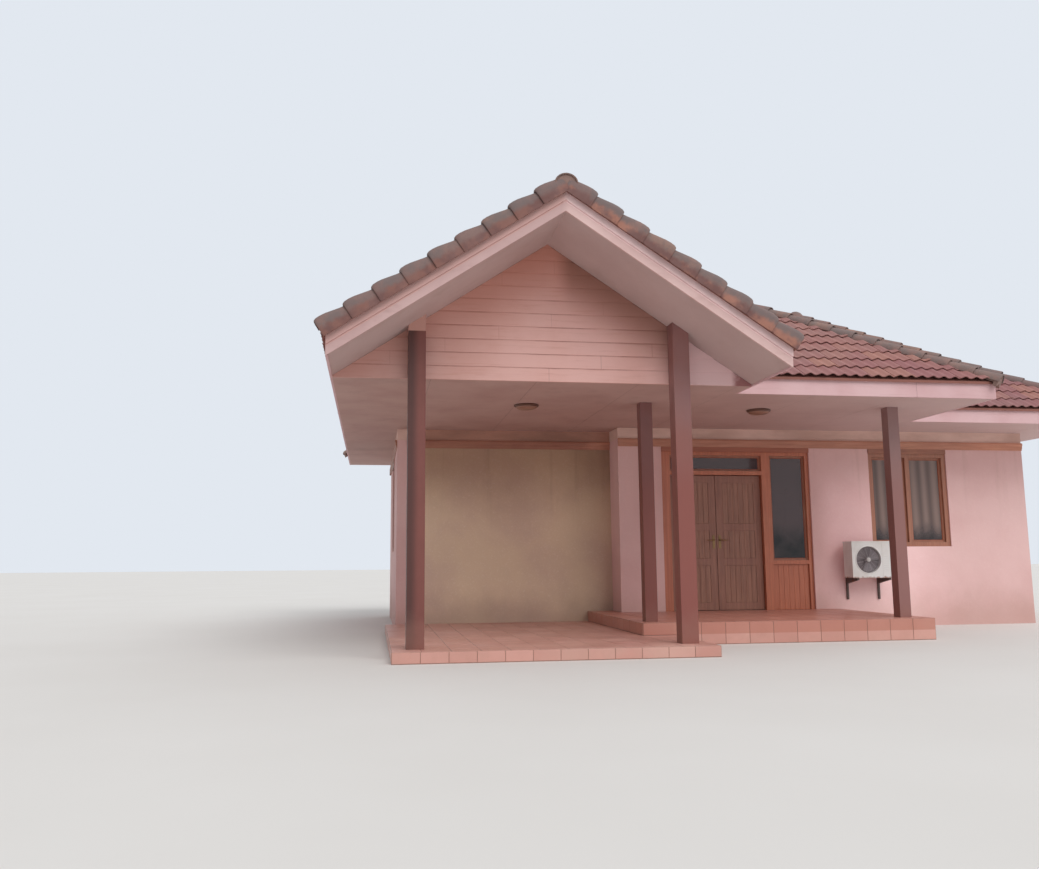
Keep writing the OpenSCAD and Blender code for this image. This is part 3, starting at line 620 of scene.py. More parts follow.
CONDENSER = enamel("condenser_paint", srgb(226, 224, 222), RUST)
GRILLE = plain("grille_wire", srgb(176, 168, 172), 0.45, 0.2)
FAN = plain("fan_plastic", srgb(128, 120, 124))
HUB = plain("fan_hub", srgb(206, 200, 198), 0.45)
DARK_INSIDE = plain("fan_housing", srgb(112, 102, 106), 0.7)
BRACKET = plain("bracket_steel", srgb(96, 84, 80), 0.6, 0.5, RUST, 0.5)
LAMP_RIM = plain("lamp_rim", srgb(92, 58, 44), 0.4)
# A dim brown for the frosted lamp bowl: painted shade.
LAMP_BOWL = plain("lamp_bowl", srgb(150, 108, 92), 0.35)
BRASS = plain("door_brass", srgb(150, 122, 86), 0.4, 0.9)
INNER = plain("inner_paint", srgb(222, 212, 200), 0.85)


# Meshes
def dress(name, mesh, materials, body="house", smooth=None):
    """A piece from its mesh. smooth is the angle below which edges are rounded in shading."""
    for material in materials if isinstance(materials, list) else [materials]:
        mesh.materials.append(material)
    if smooth is not None:
        mesh.polygons.foreach_set("use_smooth", [True] * len(mesh.polygons))
        mesh.set_sharp_from_angle(angle=math.radians(smooth))
    mesh.update()
    piece = bpy.data.objects.new(name, mesh)
    bpy.context.scene.collection.objects.link(piece)
    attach(piece, body)
    return piece


def settled(bm, name):
    """The finished mesh of an edited one."""
    mesh = bpy.data.meshes.new(name)
    bm.to_mesh(mesh)
    bm.free()
    return mesh


def circle(steps):
    return [TURN * k / steps for k in range(steps)]


def arc(steps, whole=math.pi):
    return [whole * k / steps for k in range(steps + 1)]


class Solid:
    """Collects shapes into one mesh. numbers names what is kept for each point, such as a tile's shade."""

    def __init__(self, *numbers):
        self.bm = bmesh.new()
        self.layers = [self.bm.verts.layers.float.new(name) for name in numbers]

    def point(self, at, *values):
        made = self.bm.verts.new(at)
        for layer, value in zip(self.layers, values):
            made[layer] = value
        return made

    def ring(self, points, *values):
        return [self.point(at, *values) for at in points]

    def skin(self, rings):
        """Faces between rings that follow one another. A ring of one point is a tip."""
        for a, b in zip(rings, rings[1:]):
            size = max(len(a), len(b))
            for k in range(size):
                n = (k + 1) % size
                corners = dict.fromkeys((a[k % len(a)], a[n % len(a)], b[n % len(b)], b[k % len(b)]))
                if len(corners) > 2:
                    self.bm.faces.new(corners)

    def loft(self, rings):
        """Rings with a skin between them and one face at each end."""
        self.skin(rings)
        self.bm.faces.new(rings[0][::-1])
        self.bm.faces.new(rings[-1])

    def shell(self, rings):
        """Rings that go out along one line and back along another, with quads at each end."""
        self.skin(rings)
        for ring in (rings[0], rings[-1]):
            for k in range(len(ring) // 2 - 1):
                self.bm.faces.new((ring[k], ring[k + 1], ring[-2 - k], ring[-1 - k]))

    def box(self, low, high, bevel=0.0, steps=1):
        made = bmesh.ops.create_cube(self.bm, size=1.0)["verts"]
        low, high = Vector(low), Vector(high)
        bmesh.ops.scale(self.bm, vec=high - low, verts=made)
        bmesh.ops.translate(self.bm, vec=(low + high) / 2, verts=made)
        if bevel:
            edges = list(dict.fromkeys(e for v in made for e in v.link_edges))
            bmesh.ops.bevel(self.bm, geom=edges, offset=bevel, segments=steps, profile=0.5,
                            affect="EDGES")

    def prism(self, outline, place, span):
        """An outline of two numbers, carried by place(a, b, t) from t = 0 to t = span."""
        self.loft([self.ring([place(a, b, t) for a, b in outline]) for t in (0.0, span)])

    def lathe(self, profile, place, steps=48):
        """A profile of (radius, height) turned about an axis; place(x, y, h) gives the point."""
        rings = []
        for r, h in profile:
            turns = circle(steps) if r > 1e-6 else [0.0]
            rings.append(self.ring([place(r * math.cos(a), r * math.sin(a), h) for a in turns]))
        self.skin(rings)
        return self

    def tube(self, points, steps=12, closed=False):
        """A round bar through points of (x, y, z, radius)."""
        rings = []
        count = len(points)
        for i, (x, y, z, r) in enumerate(points):
            before = points[i - 1] if closed or i else points[i]
            after = points[(i + 1) % count] if closed or i < count - 1 else points[i]
            t = (Vector(after[:3]) - Vector(before[:3])).normalized()
            a = t.cross(UP if abs(t.z) < 0.9 else Vector((0, 1, 0))).normalized()
            b = t.cross(a)
            rings.append(self.ring([Vector((x, y, z)) + a * (r * math.cos(turn)) + b * (r * math.sin(turn))
                                    for turn in circle(steps)]))
        if closed:
            self.skin(rings + rings[:1])
        else:
            self.loft(rings)

    def piece(self, name, material, slot, body="house", smooth=None):
        bmesh.ops.recalc_face_normals(self.bm, faces=self.bm.faces)
        return dress(name, settled(self.bm, name), material, body, smooth)


def upright(at, way=1):
    """Places a lathed shape whose axis stands at a point."""
    return lambda a, b, h: Vector((at[0] + a, at[1] + b, at[2] + way * h))


def facing(at, out=1):
    """Places a lathed shape whose axis runs along Y through a point."""
    return lambda a, b, h: Vector((at[0] + a, at[1] + out * h, at[2] + b))


def carried(at, side, above, ahead, start=0.0):
    """Places a prism that runs ahead from start past a point."""
    return lambda p, q, t: at + side * p + above * q + ahead * (t + start)


# Roof tiles: separate double-roll tiles, laid in lapped courses and cut at hips and valleys
COURSE = 0.295
TILE_W = 0.30
TILE_L = 0.365
TILE_T = 0.013
TILE_SIDE = 0.004
ROLLS = 2
ROLL_H = 0.026
ROLL_STEPS = 8
NOSE_UP = 0.026
NOSE_EDGE = 0.005
BASE = -0.030
TILE_REACH = 0.45


def roll(t):
    """Height of the wavy tile at t tiles from its left edge."""
    return ROLL_H * (0.5 - 0.5 * math.cos(TURN * t * ROLLS)) ** 1.25


def tile_points(own_tilt):
    """Outline of a tile as rows across it, of u, v, w and how far it is the nose, whose edge is painted
    dark as shade.
    """
    rows = []
    steps = ROLLS * ROLL_STEPS
    nose = NOSE_UP + own_tilt
    for k in range(steps + 1):
        t = k / steps
        u = t * (TILE_W + TILE_SIDE)
        h = roll(t) + 0.003 * (1 - t)
        rows.append([(u, NOSE_EDGE, h + nose, 0), (u, TILE_L, h, 0), (u, TILE_L, h - TILE_T, 0),
                     (u, 0.0, h + nose - TILE_T, 1), (u, 0.0, h + nose - NOSE_EDGE, 1)])
    return rows


def half_plane(p, q, inset):
    """Point and outward direction of the vertical plane through p and q, with the inside on the left."""
    d = Vector((q[0] - p[0], q[1] - p[1], 0)).normalized()
    out = Vector((d.y, -d.x, 0))
    return Vector((p[0], p[1], 0)) - out * inset, out


class SlopeFrame:
    """Coordinates on one slope: u along the eave, v up the slope and w out of it."""

    def __init__(self, uphill, at_eave):
        self.n = Vector((uphill[0], uphill[1], 0))
        self.u = Vector((uphill[1], -uphill[0], 0))
        self.v = self.n * COS + Vector((0, 0, SIN))
        self.w = -self.n * SIN + Vector((0, 0, COS))
        self.origin = self.n * at_eave + Vector((0, 0, ROOF_Z))

    def at(self, u, v, w):
        return self.origin + self.u * u + self.v * v + self.w * w

    def run(self, x, y):
        return Vector((x, y, 0)).dot(self.n) - self.origin.dot(self.n)

    def across(self, x, y):
        return Vector((x, y, 0)).dot(self.u)


def tile_mesh(slope, outline, trims):
    """Tiles over a convex outline in plan. trims says how far inside each side they are cut, or None."""
    across = [slope.across(*p) for p in outline]
    courses = int((max(slope.run(*p) for p in outline) / COS + TILE_LIP) / COURSE) + 1
    columns = range(math.floor(min(across) / TILE_W) - 1, math.ceil(max(across) / TILE_W) + 1)
    planes = [half_plane(p, q, inset) for p, q, inset in zip(outline, outline[1:] + outline[:1], trims)
              if inset is not None]
    tiles = Solid("own", "nose")
    for c in range(courses):
        v0 = -TILE_LIP / COS - TILE_SIDE + c * COURSE
        for k in columns:
            shade = draw.random()
            tilt = draw.uniform(-0.002, 0.003)
            slip = draw.uniform(-0.003, 0.003)
            lift = draw.uniform(-0.001, 0.002)
            u0 = k * TILE_W
            middle = slope.at(u0 + TILE_W / 2, v0 + TILE_L / 2, 0)
            if not any((middle - p).dot(out) > TILE_REACH for p, out in planes):
                tiles.loft([[tiles.point(slope.at(u0 + u, v0 + v + slip, BASE + w + lift), shade, nose)
                             for u, v, w, nose in row] for row in tile_points(tilt)])
    for point, out in planes:
        made = bmesh.ops.bisect_plane(
            tiles.bm, geom=tiles.bm.verts[:] + tiles.bm.edges[:] + tiles.bm.faces[:], plane_co=point,
            plane_no=out, clear_outer=True)
        rim = [e for e in made["geom_cut"] if isinstance(e, bmesh.types.BMEdge)]
        bmesh.ops.holes_fill(tiles.bm, edges=rim, sides=0)
    return settled(tiles.bm, "part")


def roof(name, uphill, at_eave, outline, *fields):
    """One slope: boarding under its whole outline and tiles over each convex field of it."""
    slope = SlopeFrame(uphill, at_eave)
    whole = Solid()
    for field in fields:
        part = tile_mesh(slope, *(field if isinstance(field[0], list) else (outline, field)))
        whole.bm.from_mesh(part)
        bpy.data.meshes.remove(part)
    tile_faces = len(whole.bm.faces)
    whole.loft([whole.ring([(x, y, ROOF_Z + slope.run(x, y) * SLOPE + w / COS) for x, y in outline])
                for w in (-ROOF_T, BASE - TILE_T - 0.002)])
    whole.bm.faces.ensure_lookup_table()
    for face in whole.bm.faces[tile_faces:]:
        face.material_index = 1
    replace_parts(whole.piece(name + "_tiles", [ROOF_TILE, UNDERLAY], "roof_tile", smooth=38), name)


LIP = TILE_LIP - 0.02
LEFT, RIGHT, BACK = EAVE_LEFT - LIP, EAVE_RIGHT + LIP, EAVE_BACK + LIP
GABLE_X, PORCH_X = EAVE_GABLE + LIP, EAVE_PORCH_X + LIP
PORCH_Y, WING_Y = EAVE_PORCH_Y - LIP, EAVE_WING_Y - LIP
VERGE_Y = TILE_GABLE_Y + 0.02
VERGE_LEFT, VERGE_TOP, VERGE_RIGHT = (LEFT, VERGE_Y), (0, VERGE_Y), (GABLE_X, VERGE_Y)
GABLE_VALLEY, PORCH_CORNER, WING_VALLEY = (GABLE_X, PORCH_Y), (PORCH_X, PORCH_Y), (PORCH_X, WING_Y)
WING_CORNER, BACK_RIGHT, BACK_LEFT = (RIGHT, WING_Y), (RIGHT, BACK), (LEFT, BACK)
LEFT_SPLIT, BACK_SPLIT = (LEFT, GABLE_END[1]), (WING_LEFT[0], BACK)
CUT, OPEN, GAP = 0.0, None, 0.045

roof("left_slope", (1, 0), EAVE_LEFT,
     [VERGE_LEFT, VERGE_TOP, GABLE_END, MAIN_FRONT, MAIN_BACK, BACK_LEFT],
     ([VERGE_LEFT, VERGE_TOP, GABLE_END, LEFT_SPLIT], (CUT, CUT, CUT, OPEN)),
     ([LEFT_SPLIT, GABLE_END, MAIN_FRONT, MAIN_BACK, BACK_LEFT], (CUT, CUT, CUT, CUT, OPEN)))
roof("gable_right_slope", (-1, 0), -EAVE_GABLE,
     [VERGE_TOP, VERGE_RIGHT, GABLE_VALLEY, GABLE_END], (CUT, OPEN, GAP, CUT))
roof("porch_front_slope", (0, 1), EAVE_PORCH_Y,
     [GABLE_VALLEY, PORCH_CORNER, MAIN_FRONT, GABLE_END], (OPEN, CUT, CUT, GAP))
roof("porch_right_slope", (-1, 0), -EAVE_PORCH_X,
     [PORCH_CORNER, WING_VALLEY, WING_LEFT, MAIN_BACK, MAIN_FRONT], (OPEN, GAP, CUT, CUT, CUT))
roof("wing_front_slope", (0, 1), EAVE_WING_Y,
     [WING_VALLEY, WING_CORNER, WING_RIGHT, WING_LEFT], (OPEN, CUT, CUT, GAP))
roof("wing_right_slope", (-1, 0), -EAVE_RIGHT, [WING_CORNER, BACK_RIGHT, WING_RIGHT], (OPEN, CUT, CUT))
roof("back_slope", (0, -1), -EAVE_BACK, [BACK_RIGHT, BACK_LEFT, MAIN_BACK, WING_LEFT, WING_RIGHT],
     ([BACK_SPLIT, BACK_LEFT, MAIN_BACK, WING_LEFT], (OPEN, CUT, CUT, CUT)),
     ([BACK_RIGHT, BACK_SPLIT, WING_LEFT, WING_RIGHT], (OPEN, CUT, CUT, CUT)))


# Caps: lapped half-barrel tiles along ridges and hips
CAP_COURSE = 0.33
CAP_L = 0.40
CAP_T = 0.014
CAP_R, CAP_TAPER = 0.122, 0.016
CAP_RISE = 0.86
CAP_LIFT = 0.018
CAP_STEPS = 14
GABLE_SUNK, GABLE_START, GABLE_BED = 0.045, 0.026, 0.03
CROWN = [(0.155, -0.12), (0.165, -0.11), (0.158, -0.075), (0.135, -0.012), (0.10, 0.03), (0.055, 0.056)]
CROWN_TOP = 0.065
CROWN_STEPS = 28
MORTAR_HALF = 0.105


def roof_line(place, run):
    return Vector((*place, ROOF_Z + run * SLOPE))


def line_axes(a, b):
    """Directions ahead along a sloping line, level across it and out of the roof."""
    ahead = (b - a).normalized()
    side = ahead.cross(UP).normalized()
    return ahead, side, side.cross(ahead)


def barrel(tiles, at, ahead, side, up, length):
    """A tapering half-barrel shell from at, wide at its lower end."""
    shade = draw.random()
    turns = arc(CAP_STEPS)
    high = CAP_R - CAP_TAPER
    rings = []
    for t, outer, inner in ((0.0, CAP_R, CAP_R - CAP_T), (0.012, CAP_R + 0.004, CAP_R - CAP_T),
                            (0.05, CAP_R + 0.002, CAP_R - CAP_T), (length, high, high - CAP_T)):
        lift = CAP_LIFT * (1 - t / length)
        spots = [(outer, a) for a in turns] + [(inner, a) for a in reversed(turns)]
        rings.append(tiles.ring([at + ahead * t + side * (r * math.cos(a)) + up * (
            r * CAP_RISE * math.sin(a) + lift) for r, a in spots], shade, 0.0 if t else 0.8))
    tiles.shell(rings)


def cap_row(tiles, a, b, sunk, start):
    """Barrels from a up to b, bedded down to sunk under the line; the first sits only start under it."""
    ahead, side, above = line_axes(a, b)
    run = (b - a).length
    count = max(1, round((run - 0.05) / CAP_COURSE))
    step = run / count
    for k in range(count):
        tilt = Matrix.Rotation(draw.uniform(-0.02, 0.02), 3, ahead)
        at = a + ahead * (k * step - 0.02) + above * draw.uniform(-0.002, 0.003)
        length = min(CAP_L, step + 0.07) if k < count - 1 else step
        barrel(tiles, at - above * min(sunk, start + 0.008 * k), ahead, tilt @ side, tilt @ above, length)


def mortar_row(solid, a, b, drop, top, start):
    """Mortar bedding under a row of caps, and a mortar plug in the lowest one."""
    ahead, side, above = line_axes(a, b)
    plug = [(0.112 * math.cos(t), 0.093 * math.sin(t) + 0.016 - start) for t in arc(16)]
    plug += [(-0.1, -drop * 0.1 - 0.08), (0, -0.07), (0.1, -drop * 0.1 - 0.08)]
    solid.prism(plug, carried(a, side, above, ahead, -0.015), 0.05)
    low, rim = -drop * MORTAR_HALF - 0.03, 0.012 - drop * MORTAR_HALF
    outline = [(-MORTAR_HALF, low), (0.012 - MORTAR_HALF, rim), (-0.05, top), (0.05, top),
               (MORTAR_HALF - 0.012, rim), (MORTAR_HALF, low), (0, -0.04)]
    solid.prism(outline, carried(a, side, above, ahead), (b - a).length)


def crown(tiles, at):
    """Round cap over the place where two hips meet a ridge."""
    shade = draw.random()
    rings = [tiles.ring([at + Vector((r * math.cos(a), r * math.sin(a), h)) for a in circle(CROWN_STEPS)],
                        shade, 0.0) for r, h in CROWN]
    tiles.skin(rings + [[tiles.point(at + UP * CROWN_TOP, shade, 0.0)]])
    tiles.bm.faces.new(rings[0][::-1])


def caps():
    def foot(x, y, out_x, out_y):
        """The place under the lowest cap of a hip, at the tiles' outer corner."""
        return roof_line((x + out_x * TILE_LIP, y + out_y * TILE_LIP), -TILE_LIP)

    gable_end = roof_line(GABLE_END, EAVE_GABLE)
    main_front, main_back = roof_line(MAIN_FRONT, MAIN_HALF), roof_line(MAIN_BACK, MAIN_HALF)
    wing_left, wing_right = roof_line(WING_LEFT, WING_HALF), roof_line(WING_RIGHT, WING_HALF)
    hips = [(foot(EAVE_PORCH_X, EAVE_PORCH_Y, 1, -1), main_front), (gable_end, main_front),
            (foot(EAVE_LEFT, EAVE_BACK, -1, 1), main_back), (wing_left, main_back),
            (foot(EAVE_RIGHT, EAVE_WING_Y, 1, -1), wing_right),
            (foot(EAVE_RIGHT, EAVE_BACK, 1, 1), wing_right)]
    ridges = [(roof_line((0, TILE_GABLE_Y), EAVE_GABLE), gable_end), (main_back, main_front),
              (wing_left, wing_right)]
    crowns = (main_front, main_back, wing_right)
    for name, rows, tops, drop, sunk in (("hip_caps", hips, (), 0.42, 0.068),
                                         ("ridge_caps", ridges, crowns, 0.66, 0.075)):
        tiles, bed = Solid("own", "nose"), Solid()
        for a, b in rows:
            gable = a.y < GABLE_Y
            start = GABLE_START if gable else sunk
            cap_row(tiles, a, b, GABLE_SUNK if gable else sunk, start)
            foot_at = a + line_axes(a, b)[0] * 0.01
            mortar_row(bed, foot_at, b, drop, GABLE_BED if gable else 0.075 - sunk, start)
        for at in tops:
            crown(tiles, at)
        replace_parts(tiles.piece(name + "_barrels", CAP_TILE, "cap_tile", smooth=35), name)
        bed.piece(name + "_mortar", MORTAR, "cap_tile")


caps()

# Verge tiles along the gable's two sloping edges
VERGE_R, VERGE_T = 0.062, 0.012
VERGE_CENTRE = 0.064
VERGE_BASE = 0.028
SKIRT = 0.085
VERGE_OUT = 0.022
SWELL = [(0.0, 1.0, 0.008), (0.008, 1.09, 0.013), (0.03, 1.16, 0.018), (0.08, 1.18, 0.020),
         (0.14, 1.14, 0.018), (0.21, 1.05, 0.011), (0.29, 0.94, 0.003)]
PLUG_R = 0.052


def verge_section(grow):
    """A verge tile across the slope: skirt, roll and inner foot, out along its face and back inside."""
    r = VERGE_R * grow
    lines = []
    for size, edge in ((r, 0.0), (r - VERGE_T, VERGE_T)):
        over = [(VERGE_CENTRE + size * math.cos(a), VERGE_BASE + size * math.sin(a))
                for a in reversed(arc(10))]
        lines.append([(edge, -SKIRT), *over, (VERGE_CENTRE + size, 0.0)])
    return lines[0] + lines[1][::-1]


def verge_row(tiles, low, top, above):
    """Lapped verge tiles from the eave to the apex: a roll on top and a skirt over the barge board."""
    ahead = (top - low).normalized()
    run = (top - low).length
    count = round(run / CAP_COURSE)
    step = run / count
    for k in range(count):
        shade = draw.random()
        base = low + ahead * (k * step - 0.015)
        length = step + (0.06 if k < count - 1 else 0.0)
        swing = draw.uniform(-0.003, 0.003)
        rings = []
        for t, grow, lift in SWELL + [(length, 0.84, -0.004)]:
            nose = 0.0 if t else 1.0
            end = 0.022 if t == length else 0.0
            rings.append([])
            for y, w in verge_section(grow):
                rise = w + (lift if w > -0.05 else end)
                forward = TILE_GABLE_Y - VERGE_OUT + y + swing - 0.012 * (1 - t / length)
                rings[-1].append(tiles.point(
                    base + ahead * t + above * rise + Vector((0, forward, 0)), shade, 0.8 * nose,
                    (w + SKIRT) / 0.175 + 0.35 * y - 0.3 * nose))
        tiles.shell(rings)


def verges():
    tiles, plugs = Solid("own", "nose", "high"), Solid()
    eave = ROOF_Z - TILE_LIP * SLOPE
    for sign in (-1, 1):
        x = sign * (EAVE_GABLE + TILE_LIP)
        above = Vector((sign * SIN, 0, COS))
        verge_row(tiles, Vector((x, 0, eave)), Vector((0, 0, APEX_Z)), above)
        shape = [(VERGE_CENTRE + PLUG_R * math.cos(a), 0.030 + PLUG_R * math.sin(a)) for a in arc(14)]
        shape += [(0.014, -0.02), (0.114, -0.02)]
        plugs.prism(shape, carried(Vector((x, TILE_GABLE_Y - 0.034, eave)), Vector((0, 1, 0)), above,
                                   Vector((-sign * COS, 0, SIN)), 0.006), 0.05)
    for piece in (tiles.piece("verge_tiles", VERGE_TILE, "cap_tile", smooth=35),
                  plugs.piece("verge_end_mortar", MORTAR, "cap_tile")):
        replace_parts(piece, "verge_caps")


verges()


# Light metal gutters in the two valleys
GUTTER_W, GUTTER_RISE, GUTTER_T, GUTTER_SUNK = 0.12, 0.42, 0.003, -0.040


def valleys():
    solid = Solid()
    edge = GUTTER_W * GUTTER_RISE + GUTTER_SUNK
    outline = [(-GUTTER_W, edge), (0, GUTTER_SUNK), (GUTTER_W, edge), (GUTTER_W, edge + GUTTER_T),
               (0, GUTTER_SUNK + GUTTER_T), (-GUTTER_W, edge + GUTTER_T)]
    for low, high, run in ((GABLE_VALLEY, GABLE_END, EAVE_GABLE), (WING_VALLEY, WING_LEFT, WING_HALF)):
        a, b = roof_line(low, -LIP), roof_line(high, run)
        ahead, side, above = line_axes(a, b)
        solid.prism(outline, carried(a, side, above, ahead), (b - a).length)
    solid.piece("valley_gutters", VALLEY, "roof_tile")


valleys()

# Floor tiles on the carport and the porch, and on the upright edges of the slabs
FLOOR_PITCH = 0.30
JOINT = 0.006
TILE_EDGE = 0.003


def laid_tile(tiles, corners, along, across, out, depths, shade):
    """One tile from its corners: its sides at two depths, then its face drawn in by the worn edge."""
    ways = [along + across, across - along, -along - across, along - across]
    tiles.loft([tiles.ring([corner + out * depth + way * inset for corner, way in zip(corners, ways)],
                           shade) for depth, inset in zip(depths, (0.0, 0.0, TILE_EDGE))])


def spans(low, high):
    """Start and end of each floor tile between two places."""
    count = max(1, round((high - low) / FLOOR_PITCH))
    return [(low + (high - low) * k / count + JOINT / 2, low + (high - low) * (k + 1) / count - JOINT / 2)
            for k in range(count)]


def tiled_floor(name, node, areas):
    tiles = Solid("own")
    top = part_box(node)[1].z
    for x0, y0, x1, y1 in areas:
        for ax, bx in spans(x0, x1):
            for ay, by in spans(y0, y1):
                shade = draw.random()
                h = draw.uniform(-0.0006, 0.0006)
                corners = [Vector((x, y, top)) for x, y in ((ax, ay), (bx, ay), (bx, by), (ax, by))]
                laid_tile(tiles, corners, Vector((1, 0, 0)), Vector((0, 1, 0)), UP,
                          (-0.002, h, h + 0.003), shade)
    tiles.piece(name, FLOOR_TILE, "floor_tile")


def risers(name, runs):
    """Tiles on upright edges; each run has a start, an end, a way out and two heights."""
    tiles = Solid("own")
    inset = JOINT / FLOOR_PITCH / 2
    for start, end, out, z0, z1 in runs:
        a, line = Vector((*start, 0)), Vector((end[0] - start[0], end[1] - start[1], 0))
        low, high = UP * (z0 + JOINT / 2), UP * (z1 - JOINT / 2)
        count = max(1, round(line.length / FLOOR_PITCH))
        for k in range(count):
            p, q = a + line * ((k + inset) / count), a + line * ((k + 1 - inset) / count)
            laid_tile(tiles, (p + low, q + low, q + high, p + high), line.normalized(), UP,
                      Vector((*out, 0)), (-0.002, 0.001, 0.004), draw.random())
    tiles.piece(name, FLOOR_TILE, "floor_tile")


floor_low, floor_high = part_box("carport_floor")
step_low, step_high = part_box("porch_floor")
RETURN_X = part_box("return_wall")[0].x
FOOT_Z = 0.004
SLAB_Z = (FOOT_Z, floor_high.z)
STEP_Z_LOW = (floor_high.z + FOOT_Z, step_high.z)
PORCH_Z = (FOOT_Z, step_high.z)
tiled_floor("carport_tiles", "carport_floor", [
    (floor_low.x, floor_low.y, step_low.x, CARPORT_WALL_Y),
    (step_low.x, floor_low.y, floor_high.x, step_low.y)])
tiled_floor("porch_tiles", "porch_floor", [
    (step_low.x, step_low.y, step_high.x, PORCH_WALL_Y),
    (step_low.x, PORCH_WALL_Y, RETURN_X, CARPORT_WALL_Y)])
risers("slab_edge_tiles", [
    ((floor_low.x, floor_low.y), (floor_high.x, floor_low.y), (0, -1), *SLAB_Z),
    ((floor_low.x, CARPORT_WALL_Y), (floor_low.x, floor_low.y), (-1, 0), *SLAB_Z),
    ((floor_high.x, floor_low.y), (floor_high.x, step_low.y), (1, 0), *SLAB_Z),
    ((step_low.x, step_low.y), (floor_high.x, step_low.y), (0, -1), *STEP_Z_LOW),
    ((floor_high.x, step_low.y), (step_high.x, step_low.y), (0, -1), *PORCH_Z),
    ((step_high.x, step_low.y), (step_high.x, PORCH_WALL_Y), (1, 0), *PORCH_Z),
    ((step_low.x, CARPORT_WALL_Y), (step_low.x, step_low.y), (-1, 0), *STEP_Z_LOW)])

# Wall mouldings with a stepped and rounded outline
MOULDING = [(0, 0), (0.35, 0), (0.42, 0.06), (0.42, 0.18), (0.62, 0.26), (0.72, 0.42), (0.74, 0.58),
            (0.9, 0.66), (1.0, 0.72), (1.0, 0.94), (0.94, 1.0), (0, 1.0)]


def moulding(name, runs, replaced=None):
    """Moulding along each run: a start on the wall, its direction, the way out and a length."""
    low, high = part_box("carport_moulding")
    outline = [(a * (high.y - low.y), b * (high.z - low.z)) for a, b in MOULDING]
    solid = Solid()
    for x, y, along, out, length in runs:
        place = carried(Vector((x, y, low.z)), Vector((*out, 0)), UP, Vector((*along, 0)))
        solid.prism(outline, place, length)
    piece = solid.piece(name, MOULDING_WOOD, "moulding_wood", smooth=35)
    if replaced:
        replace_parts(piece, replaced)


for node, name in (("carport_moulding", "carport_cornice"), ("porch_moulding", "porch_cornice")):
    low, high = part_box(node)
    moulding(name, [(low.x, high.y, (1, 0), (0, -1), high.x - low.x)], node)
moulding("side_cornices", [
    (WALL_LEFT, CARPORT_WALL_Y, (0, 1), (-1, 0), WALL_BACK - CARPORT_WALL_Y),
    (WALL_RIGHT, PORCH_WALL_Y, (0, 1), (1, 0), WALL_BACK - PORCH_WALL_Y),
    (WALL_LEFT - 0.03, WALL_BACK, (1, 0), (0, 1), WALL_RIGHT - WALL_LEFT + 0.06)])


# Windows: slim sashes with glazing beads round each pane, and a catch inside
def islands(node):
    """Low and high corners of each separate solid in a node."""
    bm = bmesh.new()
    bm.from_mesh(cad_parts[node].data)
    bmesh.ops.remove_doubles(bm, verts=bm.verts, dist=0.00002)
    left, found = set(bm.verts), []
    while left:
        group = [left.pop()]
        for vert in group:
            near = {edge.other_vert(vert) for edge in vert.link_edges} & left
            left -= near
            group += near
        found.append([Vector([pick(v.co[i] for v in group) for i in range(3)]) for pick in (min, max)])
    bm.free()
    return sorted(found, key=lambda pair: tuple(round(c, 4) for c in (*pair[0], *pair[1])))


def thin_axis(low, high):
    """The axis through a pane or frame: 0 for X, 1 for Y."""
    return 0 if high.x - low.x < high.y - low.y else 1


def pane_bars(solid, pane, width, depth, bevel):
    """Four bars round a pane of glass, given as its low and high corners."""
    low, high = pane
    thin = thin_axis(low, high)
    wide = 1 - thin
    edge = 0.002
    left, right = low[wide], high[wide]
    for a, b, z0, z1 in ((left - edge, left + width, low.z - edge, high.z + edge),
                         (right - width, right + edge, low.z - edge, high.z + edge),
                         (left + width, right - width, low.z - edge, low.z + width),
                         (left + width, right - width, high.z - width, high.z + edge)):
        p, q = Vector((0, 0, z0)), Vector((0, 0, z1))
        p[wide], q[wide] = a, b
        p[thin], q[thin] = low[thin] - depth, high[thin] + depth
        solid.box(p, q, bevel)


SASH_W, SASH_OUT = 0.026, 0.016
BEAD_W, BEAD_OUT = 0.036, 0.006
CATCH_MIN_H = 1.0


def sashes():
    wood_bars, beads, brass = Solid(), Solid(), Solid()
    for pane in islands("window_glass"):
        low, high = pane
        pane_bars(wood_bars, pane, SASH_W, SASH_OUT, 0.003)
        pane_bars(beads, pane, BEAD_W, BEAD_OUT, 0.002)
        if high.z - low.z < CATCH_MIN_H:
            continue
        thin = thin_axis(low, high)
        centre = (low + high) / 2
        inward = 1 if CENTRE[thin] > centre[thin] else -1
        face = high[thin] + SASH_OUT if inward > 0 else low[thin] - SASH_OUT
        p, q = centre.copy(), centre.copy()
        p[1 - thin], q[1 - thin] = low[1 - thin] + 0.006, low[1 - thin] + 0.022
        p[thin], q[thin] = sorted((face - 0.001 * inward, face + 0.014 * inward))
        p.z, q.z = centre.z - 0.05, centre.z + 0.06
        brass.box(p, q, 0.003, 2)
    wood_bars.piece("window_sashes", WINDOW_WOOD, "frame_wood")
    beads.piece("glazing_beads", BEAD_WOOD, "frame_wood")
    brass.piece("window_catches", BRASS, "frame_wood")


BOARD_OUT = 0.014
BOARD_LAP = 0.012


def head_boards(name, material, frames):
    """Flat boards that fill the gap between the head of each opening and the moulding above it."""
    solid = Solid()
    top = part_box("porch_moulding")[0].z + 0.001
    for low, high in frames:
        p, q = Vector((low.x, low.y, high.z - BOARD_LAP)), Vector((high.x, high.y, top))
        axis = thin_axis(low, high)
        near, far = ((WALL_LEFT, WALL_RIGHT), (PORCH_WALL_Y, WALL_BACK))[axis]
        face, out = (near, -1) if low[axis] < CENTRE[axis] else (far, 1)
        p[axis], q[axis] = sorted((face - 0.002 * out, face + BOARD_OUT * out))
        solid.box(p, q, 0.003)
    solid.piece(name, material, "frame_wood")


